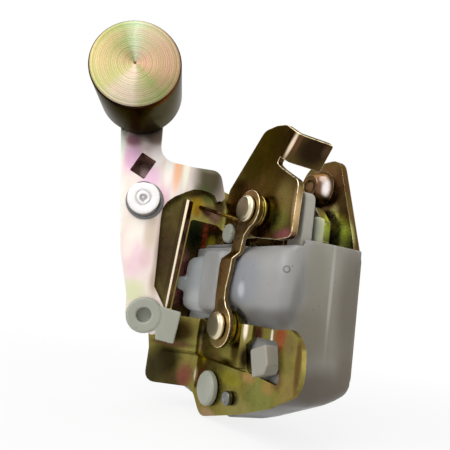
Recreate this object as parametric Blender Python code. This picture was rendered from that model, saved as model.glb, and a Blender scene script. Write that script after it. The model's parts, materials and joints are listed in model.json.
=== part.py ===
# Sliding door lock: a latch in a moulded housing, with a weighted opening lever beside it.
# Units are metres, +Z is up. X = 0 is the outer face of the shut plate and +X points out of the door.
# The origin lies on that face, on the centre line of the striker mouth, which opens towards +Y.
# Inside the lock a depth is counted from the shut face, so a depth of 5 mm is x = -5 mm.

import math

import bmesh
import bpy
from mathutils import Matrix, Vector
from mathutils.geometry import tessellate_polygon

MM = 0.001

# Clearances
GAP = 0.3 * MM
RUNNING = 0.3 * MM

# Pivots, as (y, z) on the shut face
HOOK_PIVOT = (8.5 * MM, 23.4 * MM)
FORK_PIVOT = (13.2 * MM, -15.2 * MM)

# Shut plate
PLATE_THICK = 2.5 * MM
PLATE_RIGHT = -10.6 * MM
PLATE_LEFT = 50.6 * MM
EAR_TOP = 47.1 * MM
MOUTH_HALF = 7.0 * MM
MOUTH_END = 26.0 * MM
EAR_SCREW = (10.3 * MM, 37.1 * MM)
UPPER_SCREW = (42.0 * MM, 22.0 * MM)
LOWER_SCREW = (42.6 * MM, -27.0 * MM)
BOSS_BASE = 6.8 * MM
BOSS_TIP = 4.3 * MM
BOSS_HEIGHT = 5.7 * MM
SCREW_BORE = 2.5 * MM
WING_BOTTOM = -16.0 * MM
WING_REACH = 39.0 * MM
WING_TAIL = 17.0 * MM
WING_RADIUS = 1.5 * MM

# Housing
WALL = 1.6 * MM
HOUSING_RIM = 1.6 * MM
HOUSING_DEPTH = 27.7 * MM
HOUSING_RIGHT = PLATE_RIGHT - GAP - WALL
HOUSING_LEFT = PLATE_LEFT + GAP + WALL
HOUSING_TOP = 14.3 * MM
FRONT_WALL = 2.2 * MM
FRONT_STEP = 1.9 * MM
BOTTOM_SLOPE = math.radians(22.0)
BOTTOM_AT_RIGHT = -33.6 * MM
SHELF_LENGTH = 26.0 * MM
DRAFT = 1.7 * MM
DRAFT_START = 14.8 * MM
RIM_RISE = 3.4 * MM
DOME_TOP = 12.0 * MM
DOME_BOTTOM = -12.4 * MM
DOME_PROUD = 5.3 * MM
DOME_ROUND = 7.3 * MM
DOME_END_ROUND = 4.0 * MM
DOME_WALL = 2.0 * MM
DOME_LOW_TOP = 8.6 * MM
DOME_LOW_START = 33.0 * MM
DOME_STEP_START = 20.8 * MM
DOME_STEP_TOP = 10.4 * MM
DOME_STEP_PROUD = 1.4 * MM
DOME_TAB = 2.2 * MM

# Lever bracket, one folded sheet: a plate leg parallel to the shut face and a flared lever leg
SHEET = 1.5 * MM
FLARE = math.radians(25.3)
FOLD_RADIUS = 2.0 * MM
LEG_FACE_DEPTH = HOUSING_DEPTH + GAP + SHEET
FOLD_Y = 37.1 * MM
BAND_STEP = 3.3 * MM
PAD_RISE = 2.5 * MM
LEDGE_RISE = 1.2 * MM
FLANGE_HEIGHT = 4.0 * MM
PIN_EAR = 5.8 * MM

# Weighted lever, in the lever leg's own axes: u runs left from the fold, h stands off the leg
LEVER_THICK = 2.7 * MM
LEVER_STAND = 5.3 * MM
LEVER_PIVOT = (26.8 * MM, 24.6 * MM)
WEIGHT_CENTRE = (34.1 * MM, 63.8 * MM)
CLIP_CENTRE = (20.6 * MM, -15.4 * MM)
ARM_BEND = math.radians(15.0)
ARM_BEND_U = 15.2 * MM
ARM_BEND_RADIUS = 9.0 * MM
WEIGHT_RADIUS = 15.0 * MM
WEIGHT_LENGTH = 26.4 * MM
WEIGHT_CHAMFER = 1.0 * MM
SPIGOT_RADIUS = 3.7 * MM

# Pins and their heads
PIN_RADIUS = 3.0 * MM
PIN_NECK = 2.2 * MM
PIN_HEAD_RADIUS = 4.4 * MM
PIN_HEAD = 2.2 * MM
RIVET_HEAD_RADIUS = 5.9 * MM
RIVET_HEAD = 4.9 * MM
PEEN = 1.6 * MM
WASHER = 1.0 * MM
WASHER_RADIUS = 6.8 * MM

# Levers on the hook pivot
HOOK_THICK = 2.2 * MM
HOOK_TAB = 11.5 * MM
HOOK_TAB_RADIUS = 1.0 * MM
BUSH_LENGTH = 2.6 * MM
BUSH_RADIUS = 4.0 * MM
STRAP_THICK = 1.5 * MM
STRAP_OVER_DOME = 1.5 * MM
STRAP_EYE = 6.5 * MM
COLLAR_RADIUS = 5.2 * MM
SPACER_RADIUS = 4.3 * MM

# Fork and pawl, which turn between the shut plate and the housing
FORK_FRONT = 4.3 * MM
FORK_THICK = 5.0 * MM
FORK_HUB = 9.5 * MM
FORK_RIM = 20.6 * MM
FORK_NOTCH = 16.6 * MM
FORK_HORN = 24.6 * MM
FORK_JAW_HALF = 6.6 * MM
FORK_JAW_FLOOR = 13.2 * MM
FORK_JAW_ANGLE = -10.0
FORK_TRAVEL = 60.0
PAWL_FRONT = 4.9 * MM
PAWL_THICK = 4.0 * MM
PAWL_HUB = 6.6 * MM
PAWL_DROP = math.radians(14.0)
PAWL_CATCH = 125.0
PAWL_TAIL_Y = 0.2 * MM
PAWL_TAIL_TOP = 24.6 * MM

# Lock slider, its blade and lug
LUG_TURN = math.radians(19.0)
SLIDE_TRAVEL = 5.0 * MM
BLADE_BEHIND = 1.5 * MM
BLADE_THICK = 4.0 * MM
BLADE_RIGHT = -9.2 * MM
BLADE_LEFT = -1.8 * MM
BLADE_TOP = 29.8 * MM
LUG_CENTRE = (-6.6 * MM, -22.8 * MM)
LUG_SIDE = 8.0 * MM
LUG_PROUD = 3.2 * MM
LUG_NECK = 2.5 * MM

# Small parts on the plate leg
BUMP_CENTRE = (24.6 * MM, -36.9 * MM)
BUMP_RADIUS = 5.7 * MM
BUMP_HEAD = 2.3 * MM
BUMP_STEM = 2.6 * MM
STOP_CENTRE = (11.2 * MM, -37.2 * MM)
STOP_RADIUS = 2.25 * MM
STOP_SHANK = 1.6 * MM
STOP_HEAD = 1.7 * MM
REST_CENTRE = (29.8 * MM, 17.5 * MM)
REST_STEM_AT = (29.3 * MM, 19.2 * MM)
REST_RADIUS = 3.6 * MM
REST_STEM = 1.4 * MM
REST_HEAD = 1.8 * MM

# Springs
WIRE = 0.5 * MM
BUFFER_THICK = 4.0 * MM

SEGMENTS = 24

# Depths that follow from the sizes above
CAVITY_FLOOR = HOUSING_DEPTH - FRONT_WALL
DOME_DEPTH = HOUSING_DEPTH + DOME_PROUD
BLADE_FRONT = CAVITY_FLOOR - BLADE_BEHIND - BLADE_THICK
BAND_FACE = LEG_FACE_DEPTH - BAND_STEP
BAND_BACK = BAND_FACE - SHEET
HOOK_BACK = BAND_FACE + GAP
HOOK_FACE = HOOK_BACK + HOOK_THICK
BUSH_BACK = HOOK_FACE + GAP
BUSH_FACE = BUSH_BACK + BUSH_LENGTH
STRAP_BACK = BUSH_FACE + GAP
STRAP_FACE = STRAP_BACK + STRAP_THICK
LOWER_STRAP_BACK = max(DOME_DEPTH + STRAP_OVER_DOME, STRAP_BACK + STRAP_THICK)
STRAP_JOGGLE = LOWER_STRAP_BACK - STRAP_BACK
LOWER_STRAP_FACE = LOWER_STRAP_BACK + STRAP_THICK
PAD_FACE = LEG_FACE_DEPTH + PAD_RISE
FORK_BACK = FORK_FRONT + FORK_THICK
PAWL_BACK = PAWL_FRONT + PAWL_THICK
LEVER_FACE = LEVER_STAND + LEVER_THICK

# Axes of the lever leg
LEG_LEFT = Vector((-math.cos(FLARE), math.sin(FLARE), 0.0))
LEG_OUT = Vector((-math.sin(FLARE), -math.cos(FLARE), 0.0))
FOLD_CORNER = Vector((-LEG_FACE_DEPTH, FOLD_Y, 0.0))
FOLD_TURN = math.pi / 2 - FLARE
FOLD_TANGENT = FOLD_RADIUS * math.tan(FOLD_TURN / 2)
FOLD_ARC = FOLD_RADIUS * FOLD_TURN


def mm(*values):
    """Lengths given in millimetres, as metres."""
    return tuple(value * MM for value in values)


def latch_point(y, z, depth):
    """A point of the latch from its place on the shut face and its depth behind it."""
    return Vector((-depth, y, z))


def leg_point(u, z, h):
    """A point of the lever leg: u left of the fold, z up, h standing off the leg's outer face."""
    return FOLD_CORNER + LEG_LEFT * u + LEG_OUT * h + Vector((0.0, 0.0, z))


def circle(centre, radius, count=SEGMENTS):
    """Points of a full circle, counted from the first axis."""
    step = 2 * math.pi / count
    return [(centre[0] + radius * math.cos(i * step), centre[1] + radius * math.sin(i * step))
            for i in range(count)]


def arc(centre, radius, start, end, count=8):
    """Points of an arc between two angles in degrees, both ends included."""
    points = []
    for i in range(count + 1):
        angle = math.radians(start + (end - start) * i / count)
        points.append((centre[0] + radius * math.cos(angle), centre[1] + radius * math.sin(angle)))
    return points


def rounded(corners, count=5):
    """A closed outline from (a, b, radius) corners, each corner replaced by a tangent arc."""
    outline = []
    total = len(corners)
    for i in range(total):
        here = Vector(corners[i][:2])
        radius = corners[i][2]
        if radius == 0:
            outline.append(tuple(here))
            continue
        to_last = (Vector(corners[i - 1][:2]) - here)
        to_next = (Vector(corners[(i + 1) % total][:2]) - here)
        half = to_last.angle(to_next) / 2
        reach = min(radius / math.tan(half), 0.49 * to_last.length, 0.49 * to_next.length)
        radius = reach * math.tan(half)
        middle = (to_last.normalized() + to_next.normalized()).normalized()
        centre = here + middle * (radius / math.sin(half))
        first = here + to_last.normalized() * reach - centre
        last = here + to_next.normalized() * reach - centre
        start = math.atan2(first.y, first.x)
        turn = math.atan2(last.y, last.x) - start
        turn = (turn + math.pi) % (2 * math.pi) - math.pi
        for k in range(count + 1):
            angle = start + turn * k / count
            outline.append((centre.x + radius * math.cos(angle), centre.y + radius * math.sin(angle)))
    return outline


def slab(outline, holes, low, high, cuts_a=(), cuts_b=()):
    """A flat solid in (a, b, c) axes: the outline less its holes, from c = low to c = high.

    The solid is sliced at the given values of a and b, so that it can be folded there later.
    """
    mesh = bmesh.new()
    loops = [outline] + list(holes)
    flat = [point for loop in loops for point in loop]
    triangles = tessellate_polygon([[Vector((a, b, 0.0)) for a, b in loop] for loop in loops])
    lower = [mesh.verts.new((a, b, low)) for a, b in flat]
    upper = [mesh.verts.new((a, b, high)) for a, b in flat]
    for i, j, k in triangles:
        mesh.faces.new((lower[i], lower[j], lower[k]))
        mesh.faces.new((upper[i], upper[k], upper[j]))
    start = 0
    for loop in loops:
        count = len(loop)
        for i in range(count):
            a, b = start + i, start + (i + 1) % count
            mesh.faces.new((lower[a], lower[b], upper[b], upper[a]))
        start += count
    for axis, values in ((0, cuts_a), (1, cuts_b)):
        normal = Vector((1.0, 0.0, 0.0)) if axis == 0 else Vector((0.0, 1.0, 0.0))
        for value in values:
            parts = mesh.verts[:] + mesh.edges[:] + mesh.faces[:]
            bmesh.ops.bisect_plane(mesh, geom=parts, dist=1e-7, plane_co=normal * value, plane_no=normal)
    bmesh.ops.remove_doubles(mesh, verts=mesh.verts[:], dist=1e-7)
    return mesh


def fold(mesh, corner, along, towards, turn, radius, side=None, steps=6):
    """Fold a sheet lying in (a, b, c) about a line through a corner.

    Material ahead of the line, in the direction along, turns towards the direction towards by the
    given angle. The corner is where the two inner faces would meet, and the radius is the inner one.
    """
    tangent = radius * math.tan(turn / 2)
    length = radius * turn
    start = corner - along * tangent
    keep = side or (lambda point: True)
    for k in range(steps + 1):
        place = start + along * (length * k / steps)
        parts = mesh.verts[:] + mesh.edges[:] + mesh.faces[:]
        bmesh.ops.bisect_plane(mesh, geom=parts, dist=1e-7, plane_co=place, plane_no=along)
    for vert in mesh.verts:
        if not keep(vert.co):
            continue
        ahead = (vert.co - start).dot(along)
        height = (vert.co - corner).dot(towards)
        if ahead <= 0:
            continue
        angle = min(ahead / radius, turn)
        rest = max(ahead - length, 0.0)
        new_ahead = (radius - height) * math.sin(angle) + rest * math.cos(turn)
        new_height = radius - (radius - height) * math.cos(angle) + rest * math.sin(turn)
        vert.co += along * (new_ahead - ahead) + towards * (new_height - height)


def place(mesh, frame):
    """Move a mesh from its own (a, b, c) axes into the lock with one of the point functions."""
    for vert in mesh.verts:
        vert.co = frame(vert.co.x, vert.co.y, vert.co.z)
    return mesh


def turned(profile, centre, frame, segments=SEGMENTS):
    """A turned solid from a closed (radius, depth) profile, about a centre in the frame's plane."""
    mesh = bmesh.new()
    rings = []
    for radius, depth in profile:
        if radius < 1e-7:
            rings.append([mesh.verts.new(frame(centre[0], centre[1], depth))])
            continue
        rings.append([mesh.verts.new(frame(a, b, depth)) for a, b in circle(centre, radius, segments)])
    for i in range(len(rings)):
        first, second = rings[i], rings[(i + 1) % len(rings)]
        if len(first) == 1 and len(second) == 1:
            continue
        for k in range(segments):
            n = (k + 1) % segments
            if len(first) == 1:
                mesh.faces.new((first[0], second[n], second[k]))
            elif len(second) == 1:
                mesh.faces.new((first[k], first[n], second[0]))
            else:
                mesh.faces.new((first[k], first[n], second[n], second[k]))
    return mesh


def tube(inner, outer, low, high):
    """Profile of a plain ring between two depths."""
    return [(inner, low), (outer, low), (outer, high), (inner, high)]


def block(low, high, round_edges=0.0, segments=3, squeeze=1.0):
    """A box between two corners, with all its edges rounded if a radius is given.

    The squeeze is how much shorter the rounding is along Y than it is along X and Z.
    """
    mesh = bmesh.new()
    bmesh.ops.create_cube(mesh, size=1.0)
    size = Vector(high) - Vector(low)
    middle = (Vector(high) + Vector(low)) / 2
    for vert in mesh.verts:
        vert.co = Vector((vert.co.x * size.x, vert.co.y * size.y / squeeze, vert.co.z * size.z))
    if round_edges:
        bmesh.ops.bevel(mesh, geom=mesh.edges[:], offset=round_edges, segments=segments,
                        profile=0.5, affect='EDGES', clamp_overlap=True)
    for vert in mesh.verts:
        vert.co = Vector((vert.co.x, vert.co.y * squeeze, vert.co.z)) + middle
    return mesh


def finish(name, red, green, blue, roughness, metallic):
    """A Principled material with the part's own colour."""
    material = bpy.data.materials.new(name)
    material.use_nodes = True
    shader = material.node_tree.nodes["Principled BSDF"]
    shader.inputs["Base Color"].default_value = (red, green, blue, 1.0)
    shader.inputs["Roughness"].default_value = roughness
    shader.inputs["Metallic"].default_value = metallic
    material.diffuse_color = (red, green, blue, 1.0)
    return material


def piece(name, mesh, material, pivot=None, smooth=True, merge_flat=True):
    """Make the named object of a finished mesh, with its origin on its pivot."""
    bmesh.ops.remove_doubles(mesh, verts=mesh.verts[:], dist=1e-7)
    bmesh.ops.recalc_face_normals(mesh, faces=mesh.faces[:])
    if merge_flat:
        bmesh.ops.dissolve_limit(mesh, angle_limit=math.radians(0.3), verts=mesh.verts[:], edges=mesh.edges[:])
    origin = Vector(pivot) if pivot is not None else Vector((0.0, 0.0, 0.0))
    bmesh.ops.translate(mesh, verts=mesh.verts[:], vec=-origin)
    data = bpy.data.meshes.new(name)
    mesh.to_mesh(data)
    mesh.free()
    if smooth:
        data.shade_smooth()
        data.set_sharp_from_angle(angle=math.radians(35.0))
    if material:
        data.materials.append(material)
    made = bpy.data.objects.new(name, data)
    bpy.context.collection.objects.link(made)
    made.location = origin
    return made


def guide(name, mesh):
    """A hidden solid that another object is cut with or joined to."""
    made = piece(name, mesh, None, smooth=False)
    made.hide_render = True
    made.display_type = 'WIRE'
    return made


def combine(target, tool, operation):
    """Add an exact Boolean of the tool to the target."""
    modifier = target.modifiers.new(tool.name, 'BOOLEAN')
    modifier.operation = operation
    modifier.solver = 'EXACT'
    modifier.object = tool


def merged(meshes):
    """Several meshes as one, without welding them."""
    whole = bmesh.new()
    for mesh in meshes:
        data = bpy.data.meshes.new("merge")
        bmesh.ops.recalc_face_normals(mesh, faces=mesh.faces[:])
        mesh.to_mesh(data)
        mesh.free()
        whole.from_mesh(data)
        bpy.data.meshes.remove(data)
    return whole


def wire(path, sides=6):
    """A closed wire of round section along a path, mitred at its corners so that every side is flat."""
    mesh = bmesh.new()
    ways = [(ahead - back).normalized() for back, ahead in zip(path, path[1:])]
    side = ways[0].orthogonal().normalized()
    other = ways[0].cross(side)
    ring = []
    for k in range(sides):
        angle = 2 * math.pi * k / sides
        ring.append(path[0] + (side * math.cos(angle) + other * math.sin(angle)) * WIRE)
    rings = [[mesh.verts.new(point) for point in ring]]
    for i, way in enumerate(ways):
        mitre = way + ways[min(i + 1, len(ways) - 1)]
        ring = [point + way * ((path[i + 1] - point).dot(mitre) / way.dot(mitre)) for point in ring]
        rings.append([mesh.verts.new(point) for point in ring])
    for first, second in zip(rings, rings[1:]):
        for k in range(sides):
            n = (k + 1) % sides
            mesh.faces.new((first[k], first[n], second[n], second[k]))
    mesh.faces.new(rings[0])
    mesh.faces.new(rings[-1])
    return mesh


def bottom_at(y, inset=0.0):
    """Height of the housing's sloping bottom at a given y, moved in by an inset."""
    shelf = HOUSING_RIGHT + SHELF_LENGTH
    return BOTTOM_AT_RIGHT - (min(y, shelf) - HOUSING_RIGHT) * math.tan(BOTTOM_SLOPE) + inset


def wing_blank(depth):
    """Where a depth on the folded side wing lies on the flat blank of the shut plate."""
    return HOUSING_LEFT + GAP + depth - PLATE_THICK - 2 * WING_RADIUS + WING_RADIUS * math.pi / 2


def plate_outline():
    """Shut plate: three screw ears, the striker mouth, and the blank of the wing that clears the housing."""
    inset = WALL + GAP + RIM_RISE
    low_left = bottom_at(PLATE_LEFT, inset) + 4.0 * MM
    right_low = bottom_at(PLATE_RIGHT, inset) + 1.0 * MM
    corner = bottom_at(HOUSING_RIGHT + SHELF_LENGTH, inset) + 0.8 * MM
    mouth = arc((MOUTH_END, 0.0), MOUTH_HALF, 90, 270, 12)
    lip = 1.5 * MM
    wing_top = UPPER_SCREW[1] + 9.0 * MM
    before = rounded([
        (PLATE_LEFT, MOUTH_HALF + lip, 0),
        (PLATE_LEFT, HOUSING_TOP + 2 * GAP, 0),
        (wing_blank(WING_TAIL), HOUSING_TOP + 2 * GAP, 2.0 * MM),
        (wing_blank(WING_TAIL), WING_BOTTOM, 3.0 * MM),
        (wing_blank(WING_REACH), WING_BOTTOM, 3.0 * MM),
        (wing_blank(WING_REACH), wing_top, 8.0 * MM),
        (29.0 * MM, UPPER_SCREW[1] + 9.0 * MM, 8.0 * MM),
        (EAR_SCREW[0] + 7.4 * MM, EAR_TOP, 8.0 * MM),
        (1.6 * MM, EAR_TOP, 5.5 * MM),
        (PLATE_RIGHT, 11.2 * MM, 4.0 * MM),
        (PLATE_RIGHT, right_low, 4.0 * MM),
        (HOUSING_RIGHT + SHELF_LENGTH, corner, 10.0 * MM),
        (PLATE_LEFT, low_left, 9.0 * MM),
        (PLATE_LEFT, -MOUTH_HALF - lip, 0),
    ])
    return before + [(PLATE_LEFT - lip, -MOUTH_HALF)] + mouth[::-1] + [(PLATE_LEFT - lip, MOUTH_HALF)]


def make_shut_plate(steel):
    """Pressed plate with three drawn, tapped screw bosses and a side wing that folds back along the housing."""
    holes = [circle(HOOK_PIVOT, PIN_NECK + RUNNING), circle(FORK_PIVOT, PIN_NECK + RUNNING)]
    mesh = slab(plate_outline(), holes, 0.0, PLATE_THICK)
    fold(mesh, Vector((HOUSING_LEFT + GAP, 0.0, PLATE_THICK)), Vector((1.0, 0.0, 0.0)),
         Vector((0.0, 0.0, 1.0)), math.pi / 2, WING_RADIUS, None, 5)
    plate = piece("shut_plate", place(mesh, latch_point), steel)
    tip = PLATE_THICK + BOSS_HEIGHT
    skin = 1.0 * MM
    cones = []
    recesses = []
    for centre in (EAR_SCREW, UPPER_SCREW, LOWER_SCREW):
        cones.append(turned([(0.0, skin), (BOSS_BASE - skin, skin), (BOSS_BASE, PLATE_THICK),
                             (BOSS_TIP + 0.5 * MM, tip - 0.5 * MM), (BOSS_TIP, tip), (0.0, tip)],
                            centre, latch_point))
        recesses.append(turned([(0.0, -skin), (BOSS_BASE - 1.2 * MM, -skin), (BOSS_BASE - 1.2 * MM, 0.0),
                                (SCREW_BORE, BOSS_HEIGHT - 1.5 * MM), (SCREW_BORE, tip + skin),
                                (0.0, tip + skin)], centre, latch_point))
    combine(plate, guide("boss_cones", merged(cones)), 'UNION')
    combine(plate, guide("boss_recesses", merged(recesses)), 'DIFFERENCE')


def housing_outline(inset=0.0, top=HOUSING_TOP):
    """Outline of the moulded housing on the shut face, moved in by an inset."""
    right = HOUSING_RIGHT + inset
    left = HOUSING_LEFT - inset
    shelf = HOUSING_RIGHT + SHELF_LENGTH
    radius = max(6.0 * MM - inset, 1.0 * MM)
    return rounded([
        (right, top, 0),
        (right, bottom_at(right, inset), radius),
        (shelf, bottom_at(shelf, inset), radius),
        (left, bottom_at(shelf, inset) + 3.0 * MM, radius),
        (left, top, 0),
    ])


def drafted(mesh):
    """Lean the right wall in beyond its soft crease, and round the bottom up towards the rim."""
    for level in (DRAFT_START, 0.6 * DRAFT_START, 0.35 * DRAFT_START):
        parts = mesh.verts[:] + mesh.edges[:] + mesh.faces[:]
        bmesh.ops.bisect_plane(mesh, geom=parts, dist=1e-7, plane_co=Vector((0.0, 0.0, level)),
                               plane_no=Vector((0.0, 0.0, 1.0)))
    middle = (HOUSING_RIGHT + HOUSING_LEFT) / 2
    for vert in mesh.verts:
        if vert.co.x < middle and vert.co.z > DRAFT_START + 1e-6:
            vert.co.x += DRAFT
        if vert.co.y < DOME_BOTTOM - WALL and vert.co.z < DRAFT_START - 1e-6:
            share = (DRAFT_START - vert.co.z) / (DRAFT_START - HOUSING_RIM)
            vert.co.y += RIM_RISE * min(share * share, 1.0)
    return mesh


def make_housing(nylon):
    """Moulded tray: sloping bottom, drafted side, rounded dome over the levers, open top."""
    body = drafted(slab(housing_outline(), [], HOUSING_RIM, HOUSING_DEPTH))
    housing = piece("latch_housing", place(body, latch_point), nylon)

    # The dome over the spring pocket stands proud of the front wall
    flatter = DOME_END_ROUND / DOME_ROUND
    dome_back = -CAVITY_FLOOR + DOME_ROUND + DOME_WALL
    dome = block((-DOME_DEPTH, HOUSING_RIGHT + GAP, DOME_BOTTOM),
                 (dome_back, DOME_STEP_START + DOME_ROUND, DOME_TOP), DOME_ROUND, 6, flatter)
    combine(housing, guide("housing_dome", dome), 'UNION')
    low_dome = block((-DOME_DEPTH, DOME_STEP_START - DOME_ROUND, DOME_BOTTOM),
                     (dome_back, HOUSING_LEFT - GAP, DOME_LOW_TOP), 4.0 * MM, 4)
    combine(housing, guide("low_dome", low_dome), 'UNION')
    raised = block((-DOME_DEPTH - DOME_STEP_PROUD, DOME_STEP_START, DOME_BOTTOM + MM),
                   (dome_back, DOME_LOW_START + 2.0 * MM, DOME_STEP_TOP), 2.2 * MM, 3)
    combine(housing, guide("raised_step", raised), 'UNION')
    tab = block((-DOME_DEPTH - DOME_TAB, HOUSING_LEFT - 6.0 * MM, -5.0 * MM),
                (-DOME_DEPTH + 2.0 * MM, HOUSING_LEFT - GAP, 0.2 * MM), 0.7 * MM, 1)
    combine(housing, guide("dome_tab", tab), 'UNION')

    # A low step along the top of the front wall lets the hook lever pass
    step = block((-HOUSING_DEPTH - 6.0 * MM, HOUSING_RIGHT - WALL, HOUSING_TOP - FRONT_STEP),
                 (-BAND_BACK + 0.4 * MM, HOUSING_LEFT + WALL, HOUSING_TOP + WALL))
    combine(housing, guide("front_step", step), 'DIFFERENCE')

    # Cavity, and the dome's own pocket
    cavity = drafted(slab(housing_outline(WALL, HOUSING_TOP - WALL), [], HOUSING_RIM - WALL, CAVITY_FLOOR))
    combine(housing, guide("cavity", place(cavity, latch_point)), 'DIFFERENCE')
    open_top = block((-CAVITY_FLOOR, HOUSING_RIGHT + WALL, HOUSING_TOP - 2 * WALL),
                     (MM, 30.0 * MM, HOUSING_TOP + MM))
    combine(housing, guide("open_top", open_top), 'DIFFERENCE')
    plate_room = block((-PLATE_THICK - GAP, HOUSING_RIGHT + WALL, HOUSING_TOP - 2 * WALL),
                       (MM, HOUSING_LEFT + WALL, HOUSING_TOP + MM))
    combine(housing, guide("plate_room", plate_room), 'DIFFERENCE')
    inner = DOME_ROUND - DOME_WALL
    pocket = block((-DOME_DEPTH + DOME_WALL, HOUSING_RIGHT + DRAFT + WALL + GAP, DOME_BOTTOM + DOME_WALL),
                   (-CAVITY_FLOOR + inner, HOUSING_LEFT - 2 * WALL, DOME_LOW_TOP - DOME_WALL),
                   inner, 2, flatter)
    combine(housing, guide("dome_pocket", pocket), 'DIFFERENCE')

    # Fork pin boss, stiffening ribs and the buffer's seat inside, fused to the front wall
    boss_front = FORK_BACK + GAP
    parts = [
        turned([(0.0, boss_front), (PIN_RADIUS + 2.8 * MM, boss_front),
                (PIN_RADIUS + 2.8 * MM, CAVITY_FLOOR), (PIN_EAR + WALL, CAVITY_FLOOR),
                (PIN_EAR + WALL, HOUSING_DEPTH), (0.0, HOUSING_DEPTH)], FORK_PIVOT, latch_point),
    ]
    combine(housing, guide("pin_boss", merged(parts)), 'UNION')
    seat_back = MOUTH_END - MOUTH_HALF - BUFFER_THICK - GAP
    seat = block((-CAVITY_FLOOR - 5.0 * MM, seat_back - WALL, -MOUTH_HALF),
                 (-boss_front - 1.0 * MM, seat_back, MOUTH_HALF - 1.0 * MM))
    combine(housing, guide("buffer_seat", seat), 'UNION')
    post = block((-16.2 * MM, -5.6 * MM, DOME_BOTTOM), (-12.0 * MM, -3.4 * MM, 23.6 * MM), 0.5 * MM, 1)
    rail = block((-DOME_DEPTH + MM, 3.8 * MM, DOME_BOTTOM + WALL), (-12.0 * MM, 5.4 * MM, 8.0 * MM))
    combine(housing, guide("slider_rail", rail), 'UNION')
    bridge = block((-16.0 * MM, -5.4 * MM, DOME_BOTTOM + MM), (-12.4 * MM, 4.2 * MM, 7.0 * MM))
    combine(housing, guide("guide_post_bridge", bridge), 'UNION')
    combine(housing, guide("guide_post", post), 'UNION')

    # Openings: room for the bracket's ear, fork pin bore, striker slot, neck slot and stem holes
    ear_room = turned([(0.0, HOUSING_DEPTH), (PIN_EAR + 2 * GAP, HOUSING_DEPTH),
                       (PIN_EAR + 2 * GAP, DOME_DEPTH + MM), (0.0, DOME_DEPTH + MM)], FORK_PIVOT, latch_point)
    combine(housing, guide("ear_room", ear_room), 'DIFFERENCE')
    cuts = [turned([(0.0, 0.0), (PIN_RADIUS + RUNNING, 0.0), (PIN_RADIUS + RUNNING, HOUSING_DEPTH + MM),
                    (0.0, HOUSING_DEPTH + MM)], FORK_PIVOT, latch_point)]
    combine(housing, guide("pin_bore", merged(cuts)), 'DIFFERENCE')
    slot = block((-FORK_BACK - 4.6 * MM, HOUSING_LEFT - 2 * WALL, -MOUTH_HALF - 0.6 * MM),
                 (MM, HOUSING_LEFT + MM, MOUTH_HALF + 0.6 * MM))
    combine(housing, guide("striker_slot", slot), 'DIFFERENCE')
    neck_room = slab(neck_slot(LUG_NECK + RUNNING), [], CAVITY_FLOOR - MM, HOUSING_DEPTH + MM)
    combine(housing, guide("neck_room", place(neck_room, latch_point)), 'DIFFERENCE')
    stems = merged([turned([(0.0, CAVITY_FLOOR - MM), (radius, CAVITY_FLOOR - MM),
                            (radius, HOUSING_DEPTH + MM), (0.0, HOUSING_DEPTH + MM)], centre, latch_point)
                    for centre, radius in ((BUMP_CENTRE, BUMP_STEM + GAP), (STOP_CENTRE, STOP_SHANK + GAP))])
    combine(housing, guide("stem_holes", stems), 'DIFFERENCE')


def lug_outline():
    """Outline of the slider's square lug, turned a little and with one corner cut off."""
    half = LUG_SIDE / 2
    lean = Vector((math.sin(LUG_TURN), math.cos(LUG_TURN)))
    across = Vector((lean.y, -lean.x))
    cut = 0.28 * LUG_SIDE
    corners = []
    for a, b in ((-half, -half), (half - cut, -half), (half, cut - half), (half, half), (-half, half)):
        point = Vector(LUG_CENTRE) - across * a + lean * b
        corners.append((point.x, point.y, 0.4 * MM))
    return rounded(corners, 2)


def neck_slot(radius):
    """Round-ended slot that the lug's neck runs in."""
    end = (LUG_CENTRE[0] + SLIDE_TRAVEL, LUG_CENTRE[1])
    return arc(LUG_CENTRE, radius, 90.0, 270.0, 10) + arc(end, radius, -90.0, 90.0, 10)


def blank_u(y, fold_u, fold_y):
    """Where a point of a folded plate lies on the flat blank of the lever leg."""
    return fold_u + y - fold_y + 2 * FOLD_TANGENT - FOLD_ARC


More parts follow.
